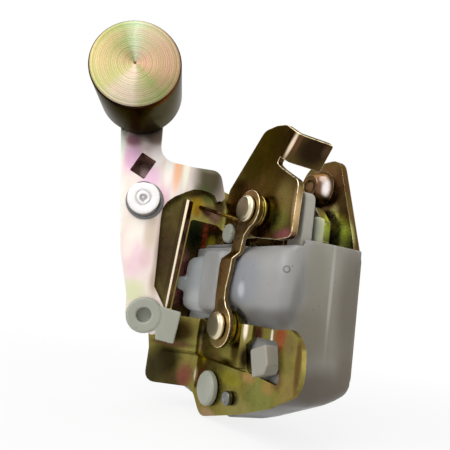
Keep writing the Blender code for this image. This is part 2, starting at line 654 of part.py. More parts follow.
def make_bracket(zinc):
    """Lever bracket: one sheet with a lever leg, a plate leg, an upper band and a window round the fold."""
    band_u = -BAND_STEP / math.cos(FLARE)
    band_y = FOLD_Y + band_u * math.sin(FLARE)

    def low(y, z, radius=0.0):
        return (blank_u(y * MM, 0.0, FOLD_Y), z * MM, radius * MM)

    def high(y, z, radius=0.0):
        return (blank_u(y * MM, band_u, band_y), z * MM, radius * MM)

    def leg(u, z, radius=0.0):
        return (u * MM, z * MM, radius * MM)

    eye_y, eye_z = HOOK_PIVOT[0] / MM, HOOK_PIVOT[1] / MM
    ear = [(blank_u(y, 0.0, FOLD_Y), z, 0.0) for y, z in arc(FORK_PIVOT, PIN_EAR, 18, 162, 9)]
    outline = rounded([
        low(38.6, -39.2, 1.5), leg(17.9, -39.0, 3.5), leg(17.9, -27.0, 4.0), leg(21.5, -8.0, 12.0),
        leg(34.6, 14.0, 8.0), leg(35.2, 33.4, 7.5), leg(20.0, 35.2, 3.0), leg(2.0, 35.2, 3.0),
        high(30.0, 31.4, 4.0), high(eye_y - 6.5, eye_z + 7.6, 6.5), high(eye_y - 7.4, eye_z - 7.6, 6.5),
        high(24.0, eye_z - 7.8, 3.0), high(31.5, 15.6, 2.5), leg(-0.6, 20.6, 2.0), leg(9.4, 21.6, 1.2),
        leg(11.9, -14.6, 1.5), low(34.0, -14.6, 1.5), low(27.0, -13.4, 2.0), *ear,
        low(6.4, -13.4, 1.0), low(-8.9, -13.4, 2.0),
        low(-16.5, -12.4, 5.0), low(-21.8, -16.0, 6.0), low(-22.9, -28.5, 8.0), low(-8.0, -36.0, 14.0),
        low(7.0, -41.2, 20.0), low(29.5, -47.4, 6.0),
    ], 4)
    room = SLIDE_TRAVEL / MM
    holes = [
        rounded([low(-10.4, -16.6, 1.0), low(-13.4, -28.6, 1.5), low(-1.9 + room, -27.6, 1.2),
                 low(-0.8 + room, -19.4, 1.5), low(-2.6 + room, -16.6, 1.0)], 3),
        circle(LEVER_PIVOT, PIN_RADIUS + RUNNING, 20),
        circle((blank_u(HOOK_PIVOT[0], band_u, band_y), HOOK_PIVOT[1]), PIN_RADIUS + RUNNING, 20),
        circle((blank_u(FORK_PIVOT[0], 0.0, FOLD_Y), FORK_PIVOT[1]), PIN_RADIUS + RUNNING, 20),
        circle((blank_u(BUMP_CENTRE[0], 0.0, FOLD_Y), BUMP_CENTRE[1]), BUMP_STEM + GAP, 20),
        circle((blank_u(STOP_CENTRE[0], 0.0, FOLD_Y), STOP_CENTRE[1]), STOP_SHANK + GAP, 16),
        circle((blank_u(REST_STEM_AT[0], band_u, band_y), REST_STEM_AT[1]), REST_STEM + GAP, 16),
    ]
    pad_right = blank_u(FORK_PIVOT[0] - 7.6 * MM, 0.0, FOLD_Y)
    slope = 2.6 * MM
    ledge = -26.6 * MM
    ledge_slope = 1.4 * MM
    cuts_u = (pad_right - slope, pad_right, 12.0 * MM, 14.0 * MM)
    cuts_z = (ledge - ledge_slope, ledge, -14.0 * MM, -12.0 * MM)
    sheet = slab(outline, holes, -SHEET, 0.0, cuts_u, cuts_z)

    def rise(u, z):
        """Height of the pressed pad: full round the fork pin, lower on the lever leg."""
        if z > 0.0:
            return 0.0
        up = min(max((z - ledge + ledge_slope) / ledge_slope, 0.0), 1.0)
        right = min(max((u - pad_right + slope) / slope, 0.0), 1.0)
        left = min(max((14.0 * MM - u) / (2.0 * MM), 0.0), 1.0)
        fade = min(max((-12.0 * MM - z) / (2.0 * MM), 0.0), 1.0)
        full = LEDGE_RISE * fade if u > -6.0 * MM else PAD_RISE
        return full * up * right * left

    for vert in sheet.verts:
        vert.co.z += rise(vert.co.x, vert.co.y)

    right = Vector((-1.0, 0.0, 0.0))
    out = Vector((0.0, 0.0, 1.0))
    fold(sheet, Vector((0.0, 0.0, 0.0)), right, out, FOLD_TURN, FOLD_RADIUS, lambda p: p.y < 0.0)
    fold(sheet, Vector((band_u, 0.0, 0.0)), right, out, FOLD_TURN, FOLD_RADIUS, lambda p: p.y >= 0.0)
    bracket = piece("lever_bracket", place(sheet, leg_point), zinc)

    # Stiffening flange along the window, lanced out of the leg and leaning left
    sink = 0.7 * MM
    foot = -14.0 * MM
    head = 28.2 * MM
    profile = []
    for z, root, lean in ((foot, 12.2 * MM, 2.1 * MM), (head, 9.0 * MM, 2.9 * MM)):
        edge = 1.35 * MM
        profile.append([(root, z, -sink), (root + edge, z, -sink),
                        (root + lean + edge, z, FLANGE_HEIGHT), (root + lean, z, FLANGE_HEIGHT)])
    flange = bmesh.new()
    rings = [[flange.verts.new(leg_point(*corner)) for corner in ring] for ring in profile]
    for k in range(4):
        n = (k + 1) % 4
        flange.faces.new((rings[0][k], rings[0][n], rings[1][n], rings[1][k]))
    flange.faces.new(rings[0])
    flange.faces.new(rings[1])
    combine(bracket, guide("window_flange", flange), 'UNION')


def make_weight_lever(steel):
    """Bell crank: a straight bar from the weight to the rod clip, with a side arm that bends back."""
    def bent(u, z, radius=0.0):
        corner = ARM_BEND_U / MM
        return ((corner - (corner - u) / math.cos(ARM_BEND)) * MM, z * MM, radius * MM)

    def flat(u, z, radius=0.0):
        return (u * MM, z * MM, radius * MM)

    top_u, top_z = WEIGHT_CENTRE[0] / MM, WEIGHT_CENTRE[1] / MM
    clip_u, clip_z = CLIP_CENTRE[0] / MM, CLIP_CENTRE[1] / MM
    outline = rounded([
        flat(clip_u + 6.2, clip_z - 6.6, 6.0), flat(clip_u + 7.4, clip_z + 6.0, 8.0),
        flat(32.6, 5.8, 20.0), flat(35.4, 23.6, 20.0), flat(39.6, 50.0, 10.0),
        flat(top_u + 9.4, top_z + 9.0, 9.0), flat(top_u - 9.0, top_z + 9.0, 9.0),
        flat(24.6, 53.0, 10.0), flat(23.8, 40.4, 8.0), bent(12.0, 39.9, 3.0),
        bent(1.6, 40.6, 4.0), bent(-1.5, 31.0, 1.5), bent(-0.6, 29.2, 1.0), bent(1.0, 29.3, 1.0),
    ], 5)
    window_top = 32.1 * MM
    sag = [bent(2.6, 31.0), bent(4.8, 31.8), bent(7.6, 32.1), bent(10.6, 31.7), bent(13.4, 30.2)]
    outline += [(a, min(b, window_top)) for a, b, _ in sag]
    outline += [(16.4 * MM, 27.8 * MM), (18.8 * MM, 25.5 * MM), (20.1 * MM, 23.0 * MM),
                (20.2 * MM, 18.9 * MM), (19.4 * MM, 5.8 * MM), (18.9 * MM, -5.2 * MM)]
    outline += rounded([flat(18.9, -5.2), flat(clip_u - 6.4, clip_z + 3.0, 3.0),
                        flat(clip_u - 5.8, clip_z - 6.6, 5.8), flat(clip_u, clip_z - 6.6)], 4)[1:-1]
    tilt = math.radians(64.6)
    hole_centre = Vector((29.45 * MM, 37.4 * MM))
    long_way = Vector((math.cos(tilt), -math.sin(tilt))) * 4.0 * MM
    short_way = Vector((math.sin(tilt), math.cos(tilt))) * 3.1 * MM
    square = []
    for a, b in ((-1, -1), (1, -1), (1, 1), (-1, 1)):
        corner = hole_centre + long_way * a + short_way * b
        square.append((corner.x, corner.y, 0.4 * MM))
    holes = [
        rounded(square, 2),
        circle(LEVER_PIVOT, PIN_RADIUS + RUNNING, 20),
        circle(WEIGHT_CENTRE, SPIGOT_RADIUS + GAP, 20),
        circle(CLIP_CENTRE, 2.5 * MM + RUNNING, 20),
    ]
    sheet = slab(outline, holes, LEVER_STAND, LEVER_FACE)
    fold(sheet, Vector((ARM_BEND_U, 0.0, LEVER_STAND)), Vector((-1.0, 0.0, 0.0)), Vector((0.0, 0.0, -1.0)),
         ARM_BEND, ARM_BEND_RADIUS, lambda p: p.y > 26.0 * MM, 4)
    piece("weight_lever", place(sheet, leg_point), steel, leg_point(*LEVER_PIVOT, LEVER_STAND))


def make_counterweight(steel):
    """Turned weight with a spigot that is peened over behind the lever."""
    seat = LEVER_FACE + GAP
    front = seat + WEIGHT_LENGTH
    behind = LEVER_STAND - GAP
    profile = [
        (0.0, behind - PEEN), (SPIGOT_RADIUS + 0.9 * MM, behind - PEEN),
        (SPIGOT_RADIUS + 1.6 * MM, behind - 0.5 * PEEN), (SPIGOT_RADIUS + 1.6 * MM, behind),
        (SPIGOT_RADIUS, behind), (SPIGOT_RADIUS, seat), (WEIGHT_RADIUS - WEIGHT_CHAMFER, seat),
        (WEIGHT_RADIUS, seat + WEIGHT_CHAMFER), (WEIGHT_RADIUS, front - WEIGHT_CHAMFER),
        (WEIGHT_RADIUS - WEIGHT_CHAMFER, front), (0.5 * MM, front), (0.0, front - 0.5 * MM),
    ]
    mesh = turned(profile, WEIGHT_CENTRE, leg_point, 48)
    piece("counterweight", mesh, steel, leg_point(*LEVER_PIVOT, LEVER_STAND))


def make_lever_pivot(bright, steel):
    """Headed rivet through the lever and the leg, with a washer in front and a spacer between them."""
    washer_back = LEVER_FACE + GAP
    head_back = washer_back + WASHER + GAP
    behind = -SHEET - GAP
    profile = [
        (0.0, behind - PEEN), (PIN_RADIUS + 0.8 * MM, behind - PEEN), (PIN_RADIUS + 1.6 * MM, behind - 0.5 * PEEN),
        (PIN_RADIUS + 1.6 * MM, behind), (PIN_RADIUS, behind), (PIN_RADIUS, head_back),
        (RIVET_HEAD_RADIUS, head_back), (RIVET_HEAD_RADIUS, head_back + RIVET_HEAD - 0.5 * MM),
        (RIVET_HEAD_RADIUS - 0.5 * MM, head_back + RIVET_HEAD), (1.8 * MM, head_back + RIVET_HEAD),
        (1.5 * MM, head_back + RIVET_HEAD - 0.4 * MM), (0.0, head_back + RIVET_HEAD - 0.4 * MM),
    ]
    piece("lever_rivet", turned(profile, LEVER_PIVOT, leg_point, 32), bright)
    washer = turned(tube(PIN_RADIUS + RUNNING, WASHER_RADIUS, washer_back, washer_back + WASHER),
                    LEVER_PIVOT, leg_point)
    piece("pivot_washer", washer, bright)
    spacer = turned(tube(PIN_RADIUS + RUNNING, PIN_RADIUS + 3.2 * MM, GAP, LEVER_STAND - GAP),
                    LEVER_PIVOT, leg_point)
    piece("lever_spacer", spacer, steel)


def make_rod_clip(nylon):
    """Snap-in clip that turns in the lever's lower end, with a block for the pull rod."""
    back = LEVER_FACE + GAP
    front = back + 5.0 * MM
    behind = LEVER_STAND - GAP
    profile = [
        (0.0, behind - 2.2 * MM), (2.0 * MM, behind - 2.2 * MM), (3.4 * MM, behind - 0.8 * MM), (3.4 * MM, behind),
        (2.5 * MM, behind), (2.5 * MM, back), (6.2 * MM, back), (6.2 * MM, front - 0.6 * MM),
        (5.6 * MM, front), (2.8 * MM, front), (2.5 * MM, front - 0.4 * MM), (2.5 * MM, front - 3.4 * MM),
        (0.0, front - 3.4 * MM),
    ]
    clip = piece("rod_clip", turned(profile, CLIP_CENTRE, leg_point, 32), nylon,
                 leg_point(*CLIP_CENTRE, back))
    u, z = CLIP_CENTRE
    arm = rounded([
        (u - 5.0 * MM, z + 3.6 * MM, 0), (u - 12.6 * MM, z + 2.4 * MM, 0.5 * MM),
        (u - 11.4 * MM, z - 8.4 * MM, 0.5 * MM), (u - 5.0 * MM, z - 7.6 * MM, 0.5 * MM),
        (u - 4.6 * MM, z - 3.2 * MM, 0),
    ], 2)
    block_mesh = place(slab(arm, [], back + 0.2 * MM, front - 0.3 * MM), leg_point)
    combine(clip, guide("clip_block", block_mesh), 'UNION')
    rod = bmesh.new()
    rings = []
    middle = (back + front) / 2
    for end in (z + 6.0 * MM, z - 12.0 * MM):
        ring = []
        for i in range(14):
            angle = 2 * math.pi * i / 14
            ring.append(rod.verts.new(leg_point(u - 8.6 * MM + 1.6 * MM * math.cos(angle), end,
                                                middle + 1.6 * MM * math.sin(angle))))
        rings.append(ring)
    for k in range(14):
        n = (k + 1) % 14
        rod.faces.new((rings[0][k], rings[0][n], rings[1][n], rings[1][k]))
    rod.faces.new(rings[0])
    rod.faces.new(rings[1])
    combine(clip, guide("rod_bore", rod), 'DIFFERENCE')


def make_hook_lever(bronze):
    """Inside opening lever: a broad plate on the upper pin with a turned-in tab at its top."""
    bend_top = Vector((-6.1 * MM, 48.2 * MM))
    bend_low = Vector((-0.3 * MM, 40.3 * MM))
    e = (bend_low - bend_top).normalized()
    m = Vector((-abs(e.y), -e.x)) if e.y < 0 else Vector((e.y, -e.x))
    reach = HOOK_TAB + 0.6 * MM
    tab_top = bend_top + m * reach
    tab_low = bend_low + m * reach
    width = (bend_low - bend_top).length
    relief = HOOK_TAB_RADIUS + 0.15 * MM

    def corner(point, radius):
        return (point[0], point[1], radius * MM)

    def beside(along, ahead, radius):
        return corner(bend_top + e * along + m * ahead, radius)

    outline = rounded([
        corner(mm(11.6, 52.4), 5.0), corner(mm(31.1, 33.6), 3.5), corner(mm(32.2, 27.4), 2.0),
        corner(mm(20.0, 17.2), 6.0), corner(mm(9.0, 14.8), 5.0), corner(mm(-3.2, 13.6), 4.0),
        corner(mm(-10.0, 14.2), 2.2), corner(mm(-10.8, 31.4), 3.0),
        beside(width + 2.2 * MM, 2.6 * MM, 0.6), beside(width + 2.2 * MM, -relief, 0.9),
        beside(width, -relief, 0.0), beside(width, 0.0, 0.0), corner(tab_low, 1.0), corner(tab_top, 1.0),
        beside(0.0, 0.0, 0.0), beside(0.0, -relief, 0.0), corner(mm(-1.0, 51.6), 4.0), corner(mm(4.6, 52.6), 6.0),
    ], 5)

    def on_tab(point):
        from_top = Vector((point.x, point.y)) - bend_top
        return from_top.dot(m) > -relief and -0.3 * MM < from_top.dot(e) < width + 0.3 * MM

    sheet = slab(outline, [circle(HOOK_PIVOT, PIN_RADIUS + RUNNING)], HOOK_BACK, HOOK_FACE)
    fold(sheet, Vector((bend_top.x, bend_top.y, HOOK_BACK)), Vector((m.x, m.y, 0.0)),
         Vector((0.0, 0.0, -1.0)), math.pi / 2, HOOK_TAB_RADIUS, on_tab, 4)
    piece("hook_lever", place(sheet, latch_point), bronze, latch_point(*HOOK_PIVOT, HOOK_BACK))


def make_strap(bronze):
    """Joggled strap that ties the outer ends of both pins together."""
    upper, lower = Vector(HOOK_PIVOT), Vector(FORK_PIVOT)
    top_eye = arc(upper, STRAP_EYE, -32, 252, 20)
    low_eye = arc(lower, STRAP_EYE + 0.4 * MM, 116, 412, 20)
    right_side = [tuple(upper + Vector(mm(0.6, -8.6))), tuple(upper + Vector(mm(1.6, -13.0))),
                  tuple(upper + Vector(mm(2.2, -20.4))), tuple(lower + Vector(mm(-1.2, 12.2))),
                  tuple(lower + Vector(mm(-1.4, 8.8)))]
    left_side = [tuple(lower + Vector(mm(4.8, 9.8))), tuple(lower + Vector(mm(4.8, 20.0))),
                 tuple(upper + Vector(mm(7.6, -13.4))), tuple(upper + Vector(mm(6.7, -8.4)))]
    outline = top_eye + right_side + low_eye + left_side
    holes = [circle(upper, PIN_NECK + RUNNING, 20), circle(lower, PIN_NECK + RUNNING, 20)]
    high = upper.y - 13.8 * MM
    levels = (high, high - 0.5 * MM, high - 2.6 * MM, high - 3.1 * MM)
    sheet = slab(outline, holes, STRAP_BACK, STRAP_FACE, (), levels)
    for vert in sheet.verts:
        share = (levels[0] - vert.co.y) / (levels[0] - levels[3])
        share = min(max(share, 0.0), 1.0)
        vert.co.z += STRAP_JOGGLE * share * share * (3 - 2 * share)
    piece("bridge_strap", place(sheet, latch_point), bronze)


def make_pins(steel):
    """Two shouldered pins, riveted flush in the shut plate and headed over the strap."""
    for name, centre, strap_back, strap_face in (
            ("upper_pin", HOOK_PIVOT, STRAP_BACK, STRAP_FACE),
            ("lower_pin", FORK_PIVOT, LOWER_STRAP_BACK, LOWER_STRAP_FACE)):
        head = strap_face + GAP
        profile = [
            (0.0, 0.0), (PIN_NECK, 0.0), (PIN_NECK, PLATE_THICK + GAP), (PIN_RADIUS, PLATE_THICK + GAP),
            (PIN_RADIUS, strap_back - GAP), (PIN_NECK, strap_back - GAP), (PIN_NECK, head),
            (PIN_HEAD_RADIUS, head), (PIN_HEAD_RADIUS, head + PIN_HEAD - 0.5 * MM),
            (PIN_HEAD_RADIUS - 0.5 * MM, head + PIN_HEAD), (0.0, head + PIN_HEAD),
        ]
        piece(name, turned(profile, centre, latch_point, 32), steel)


def make_pin_parts(zinc, steel):
    """Sleeves on the two pins: a bush, a long spacer and a collar."""
    bore = PIN_RADIUS + RUNNING
    rows = (
        ("spring_bush", HOOK_PIVOT, BUSH_RADIUS, BUSH_BACK, BUSH_FACE, zinc),
        ("pin_spacer", HOOK_PIVOT, SPACER_RADIUS, PAWL_BACK + GAP, BAND_BACK - GAP, steel),
        ("pin_collar", FORK_PIVOT, COLLAR_RADIUS, PAD_FACE + GAP, LOWER_STRAP_BACK - GAP, zinc),
    )
    for name, centre, radius, low, high, material in rows:
        piece(name, turned(tube(bore, radius, low, high), centre, latch_point, 24), material)


def make_springs(spring_steel):
    """Three torsion springs: hook lever return, fork opening and pawl return."""
    wound = BUSH_RADIUS + GAP + WIRE
    low = BUSH_BACK + WIRE
    high = BUSH_FACE - WIRE
    anchor = leg_point(6.6 * MM, 26.6 * MM, 0.3 * MM + WIRE)
    rest = latch_point(HOOK_PIVOT[0] + 4.3 * MM, HOOK_PIVOT[1] - 9.8 * MM, high)
    make_wound("hook_spring", HOOK_PIVOT, wound, low, high, 1, anchor, rest, spring_steel)
    boss = PIN_RADIUS + 2.8 * MM + GAP + WIRE
    low = FORK_BACK + 2.0 * MM
    high = low + 4.0 * MM
    first = latch_point(FORK_PIVOT[0] + 17.0 * MM, FORK_PIVOT[1] - 14.0 * MM, low)
    last = latch_point(FORK_PIVOT[0] - 2.0 * MM, FORK_PIVOT[1] - 16.0 * MM, high)
    make_wound("fork_spring", FORK_PIVOT, boss, low, high, 2, first, last, spring_steel)
    low = PAWL_BACK + 1.4 * MM
    high = low + 4.0 * MM
    sleeve = SPACER_RADIUS + GAP + WIRE
    first = latch_point(HOOK_PIVOT[0] + 14.0 * MM, HOOK_PIVOT[1] + 4.0 * MM, low)
    last = latch_point(HOOK_PIVOT[0] + 5.0 * MM, HOOK_PIVOT[1] - 12.0 * MM, high)
    make_wound("pawl_spring", HOOK_PIVOT, sleeve, low, high, 2, first, last, spring_steel)


def make_wound(name, centre, radius, low, high, turns, first, last, material):
    """A torsion spring wound clockwise between two depths, its wire leaving along tangents at both ends."""
    steps = 16
    here = Vector((centre[0], centre[1]))

    def tangent_angle(leg, way):
        out = Vector((leg.y, leg.z)) - here
        return math.atan2(out.y, out.x) + way * math.acos(min(radius / out.length, 1.0))

    start = tangent_angle(first, -1)
    end = tangent_angle(last, 1)
    while end > start - 2 * math.pi * turns:
        end -= 2 * math.pi
    count = int((start - end) / (2 * math.pi) * steps)
    path = [Vector(first)]
    for i in range(count + 1):
        share = i / count
        angle = start + (end - start) * share
        point = here + Vector((math.cos(angle), math.sin(angle))) * radius
        path.append(latch_point(point.x, point.y, low + (high - low) * share))
    path.append(Vector(last))
    piece(name, wire(path), material, merge_flat=False)


def make_fork(steel):
    """Latch fork: a jaw for the striker between two horns, a catch notch and an open-rest pocket."""
    def at(angle, radius):
        a = math.radians(angle)
        return (FORK_PIVOT[0] + radius * math.cos(a), FORK_PIVOT[1] + radius * math.sin(a))

    jaw = math.radians(FORK_JAW_ANGLE)
    ahead = Vector((math.cos(jaw), math.sin(jaw)))
    across = Vector((-math.sin(jaw), math.cos(jaw)))
    centre = Vector(FORK_PIVOT) + ahead * (FORK_JAW_FLOOR + FORK_JAW_HALF)
    open_angle = math.degrees(math.asin(FORK_JAW_HALF / FORK_HORN))
    catch = PAWL_CATCH - FORK_TRAVEL
    upper = FORK_JAW_ANGLE + open_angle
    lower = FORK_JAW_ANGLE - open_angle
    outline = arc(FORK_PIVOT, FORK_HORN, upper + 3, upper + 18, 4) + [at(upper + 22, FORK_HORN - 1.4 * MM)]
    outline += arc(FORK_PIVOT, FORK_RIM, upper + 30, catch - 22, 3)
    outline += arc(FORK_PIVOT, FORK_NOTCH, catch - 17, catch - 0.5, 3)
    outline += arc(FORK_PIVOT, FORK_RIM, catch, catch + 30, 5)
    outline += arc(FORK_PIVOT, FORK_NOTCH, catch + 46, catch + 66, 4)
    outline += [at(catch + 78, FORK_NOTCH - 1.6 * MM), at(catch + 88, FORK_HUB + 2.4 * MM)]
    outline += arc(FORK_PIVOT, FORK_HUB, catch + 104, 262, 7)
    outline += [at(lower - 42, FORK_HORN - 6.0 * MM), at(lower - 33, FORK_HORN - 1.6 * MM)]
    outline += arc(FORK_PIVOT, FORK_HORN, lower - 28, lower - 3, 5)
    floor = []
    for k in range(9):
        angle = jaw - math.pi / 2 - math.pi * k / 8
        floor.append((centre.x + FORK_JAW_HALF * math.cos(angle), centre.y + FORK_JAW_HALF * math.sin(angle)))
    outline += floor
    holes = [circle(FORK_PIVOT, PIN_RADIUS + RUNNING, 24)]
    mesh = place(slab(outline, holes, FORK_FRONT, FORK_BACK), latch_point)
    piece("latch_fork", mesh, steel, latch_point(*FORK_PIVOT, FORK_FRONT))
    return across


def make_pawl(steel):
    """Pawl: a hub on the upper pin, an arm down to the fork's rim and a short tail that shows above."""
    def on_fork(angle, radius):
        a = math.radians(angle)
        return Vector((FORK_PIVOT[0] + radius * math.cos(a), FORK_PIVOT[1] + radius * math.sin(a)))

    hub = Vector(HOOK_PIVOT)
    tip = FORK_NOTCH + 0.5 * MM
    dropped = [on_fork(PAWL_CATCH - 1.2, tip), on_fork(PAWL_CATCH - 1.2, FORK_RIM + 2.5 * MM),
               hub + Vector(mm(-7.4, -9.5))]
    lifted = []
    for point in dropped:
        turn = Matrix.Rotation(-PAWL_DROP, 2)
        moved = turn @ (point - hub) + hub
        lifted.append((moved.x, moved.y))
    inner = [on_fork(PAWL_CATCH - 11.5, tip + 0.3 * MM), on_fork(PAWL_CATCH - 13.5, FORK_RIM + 0.4 * MM),
             hub + Vector(mm(1.5, -9.5))]
    lifted_inner = []
    for point in inner:
        turn = Matrix.Rotation(-PAWL_DROP, 2)
        moved = turn @ (point - hub) + hub
        lifted_inner.append((moved.x, moved.y))
    tail = [(hub.x - 4.0 * MM, hub.y + 1.2 * MM + 4.0 * MM), (PAWL_TAIL_Y + 1.0 * MM, PAWL_TAIL_TOP),
            (PAWL_TAIL_Y, PAWL_TAIL_TOP - 1.0 * MM), (PAWL_TAIL_Y, hub.y - 6.6 * MM)]
    outline = arc(HOOK_PIVOT, PAWL_HUB, -60, 125, 12)
    outline += tail
    outline += [lifted[2], lifted[1], lifted[0]]
    outline += lifted_inner
    holes = [circle(HOOK_PIVOT, PIN_RADIUS + RUNNING, 24)]
    mesh = place(slab(outline, holes, PAWL_FRONT, PAWL_BACK), latch_point)
    piece("pawl", mesh, steel, latch_point(*HOOK_PIVOT, PAWL_FRONT))


def make_lock_slider(nylon):
    """Lock slider: a blade that stands out of the top, a stem behind the front wall and a lug."""
    back = BLADE_FRONT + BLADE_THICK
    stem_right = BLADE_RIGHT + 2.2 * MM
    outline = rounded([
        (BLADE_RIGHT, BLADE_TOP, 3.0 * MM), (BLADE_LEFT, BLADE_TOP, 0.6 * MM),
        (BLADE_LEFT, LUG_CENTRE[1] - 3.4 * MM, 1.0 * MM), (stem_right - 1.2 * MM, LUG_CENTRE[1] - 3.4 * MM, 1.0 * MM),
        (stem_right, 0.0, 3.0 * MM), (BLADE_RIGHT, 10.0 * MM, 3.0 * MM),
    ], 4)
    body = place(slab(outline, [], BLADE_FRONT, back), latch_point)
    slider = piece("lock_slider", body, nylon)
    lug = place(slab(lug_outline(), [], HOUSING_DEPTH + GAP, LEG_FACE_DEPTH + LUG_PROUD), latch_point)
    neck = turned([(0.0, back - 0.5 * MM), (LUG_NECK, back - 0.5 * MM), (LUG_NECK, HOUSING_DEPTH + MM),
                   (0.0, HOUSING_DEPTH + MM)], LUG_CENTRE, latch_point)
    combine(slider, guide("lug_neck", neck), 'UNION')
    combine(slider, guide("lug", lug), 'UNION')


def make_small_parts(nylon, steel, rubber):
    """Bump stop and rivet on the plate leg, the hook lever's rest, and the striker's rubber buffer."""
    face = LEG_FACE_DEPTH + GAP
    inside = CAVITY_FLOOR - GAP
    bump = [
        (0.0, inside - 1.6 * MM), (BUMP_STEM - 0.6 * MM, inside - 1.6 * MM), (BUMP_STEM + 0.9 * MM, inside - 0.6 * MM),
        (BUMP_STEM + 0.9 * MM, inside), (BUMP_STEM, inside), (BUMP_STEM, face), (BUMP_RADIUS, face),
        (BUMP_RADIUS, face + BUMP_HEAD - 0.7 * MM), (BUMP_RADIUS - 0.7 * MM, face + BUMP_HEAD),
        (0.0, face + BUMP_HEAD),
    ]
    piece("bump_stop", turned(bump, BUMP_CENTRE, latch_point, 32), nylon)
    stop = [
        (0.0, inside - 1.2 * MM), (STOP_SHANK + 0.8 * MM, inside - 1.2 * MM), (STOP_SHANK + 0.8 * MM, inside),
        (STOP_SHANK, inside), (STOP_SHANK, face), (STOP_RADIUS, face), (STOP_RADIUS, face + STOP_HEAD - 0.3 * MM),
        (STOP_RADIUS - 0.3 * MM, face + STOP_HEAD), (0.0, face + STOP_HEAD),
    ]
    piece("stop_rivet", turned(stop, STOP_CENTRE, latch_point, 24), steel)
    front, back = BAND_FACE + GAP, BAND_BACK - GAP
    rest = [
        (0.0, back - 1.2 * MM), (REST_STEM, back - 1.2 * MM), (REST_STEM + 0.9 * MM, back - 0.4 * MM),
        (REST_STEM + 0.9 * MM, back), (REST_STEM, back), (REST_STEM, front + 0.5 * MM), (0.0, front + 0.5 * MM),
    ]
    button = piece("hook_rest", turned(rest, REST_STEM_AT, latch_point, 20), nylon)
    head = [
        (0.0, front), (REST_RADIUS, front), (REST_RADIUS, front + REST_HEAD - 0.5 * MM),
        (REST_RADIUS - 0.5 * MM, front + REST_HEAD), (0.0, front + REST_HEAD),
    ]
    combine(button, guide("rest_head", turned(head, REST_CENTRE, latch_point, 28)), 'UNION')
    near = MOUTH_END - MOUTH_HALF - BUFFER_THICK
    buffer = block((-FORK_BACK - 9.0 * MM, near, -MOUTH_HALF + 1.2 * MM),
                   (-FORK_BACK - 1.3 * MM, near + BUFFER_THICK, MOUTH_HALF - 1.2 * MM), 0.8 * MM, 2)
    piece("striker_buffer", buffer, rubber)


def main():
    """Clear the scene and make every piece of the lock."""
    for thing in list(bpy.data.objects):
        bpy.data.objects.remove(thing)
    plate_steel = finish("bronze_passivated_steel", 0.30, 0.20, 0.09, 0.35, 0.9)
    zinc = finish("yellow_zinc_steel", 0.52, 0.44, 0.14, 0.35, 0.9)
    pale_zinc = finish("pale_zinc_steel", 0.75, 0.66, 0.60, 0.3, 0.9)
    bright = finish("bright_steel", 0.72, 0.72, 0.72, 0.3, 0.9)
    dark = finish("sintered_steel", 0.18, 0.17, 0.15, 0.45, 0.8)
    nylon = finish("natural_nylon", 0.72, 0.73, 0.70, 0.5, 0.0)
    rubber = finish("black_rubber", 0.03, 0.03, 0.03, 0.8, 0.0)
    spring_steel = finish("spring_wire", 0.40, 0.33, 0.18, 0.35, 0.9)
    make_shut_plate(plate_steel)
    make_housing(nylon)
    make_bracket(zinc)
    make_weight_lever(pale_zinc)
    make_counterweight(zinc)
    make_lever_pivot(bright, pale_zinc)
    make_rod_clip(nylon)
    make_hook_lever(plate_steel)
    make_strap(plate_steel)
    make_pins(bright)
    make_pin_parts(zinc, bright)
    make_springs(spring_steel)
    make_fork(dark)
    make_pawl(dark)
    make_lock_slider(nylon)
    make_small_parts(nylon, bright, rubber)


main()
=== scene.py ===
# Looks of a sliding door lock: chromated pressed steel, turned steel, natural nylon, the studio and the camera.
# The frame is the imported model's: metres, +Z up, X = 0 on the shut face and +X out of the door.
import json
import math

import bmesh
import bpy
import numpy as np
from bpy.props import FloatProperty, FloatVectorProperty, IntProperty, PointerProperty
from mathutils import Matrix, Vector


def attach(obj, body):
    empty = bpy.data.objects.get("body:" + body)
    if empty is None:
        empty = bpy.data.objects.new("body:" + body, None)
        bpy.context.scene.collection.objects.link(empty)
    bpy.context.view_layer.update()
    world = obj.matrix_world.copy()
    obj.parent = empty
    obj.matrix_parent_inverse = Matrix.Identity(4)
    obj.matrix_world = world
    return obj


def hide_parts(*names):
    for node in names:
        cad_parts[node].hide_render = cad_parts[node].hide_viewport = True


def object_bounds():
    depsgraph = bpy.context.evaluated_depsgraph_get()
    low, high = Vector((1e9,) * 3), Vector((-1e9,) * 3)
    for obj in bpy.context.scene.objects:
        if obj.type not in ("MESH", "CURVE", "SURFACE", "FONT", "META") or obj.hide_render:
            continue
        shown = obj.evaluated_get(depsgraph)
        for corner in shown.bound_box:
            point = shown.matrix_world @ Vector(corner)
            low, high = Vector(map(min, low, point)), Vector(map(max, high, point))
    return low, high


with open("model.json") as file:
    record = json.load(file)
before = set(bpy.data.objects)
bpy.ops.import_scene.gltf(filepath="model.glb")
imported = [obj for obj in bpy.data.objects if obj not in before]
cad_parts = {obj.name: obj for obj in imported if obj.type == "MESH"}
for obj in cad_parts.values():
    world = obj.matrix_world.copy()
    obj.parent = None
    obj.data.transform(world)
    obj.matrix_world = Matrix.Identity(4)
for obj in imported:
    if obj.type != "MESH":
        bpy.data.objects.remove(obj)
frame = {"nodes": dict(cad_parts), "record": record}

CAD_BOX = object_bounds()

bl_info = {
    "name": "Sliding Door Lock Looks",
    "version": (1, 0, 0),
    "blender": (4, 5, 0),
    "location": "View3D > Sidebar > Door Lock",
    "description": "Finished pieces, materials, light and camera for a sliding door lock",
    "category": "Object",
}

MM = 0.001

# Which body each piece moves with, and the finish that the record gives it
BODY_OF = {node: body for body, nodes in frame["record"]["behaviour"]["bodies"].items() for node in nodes}

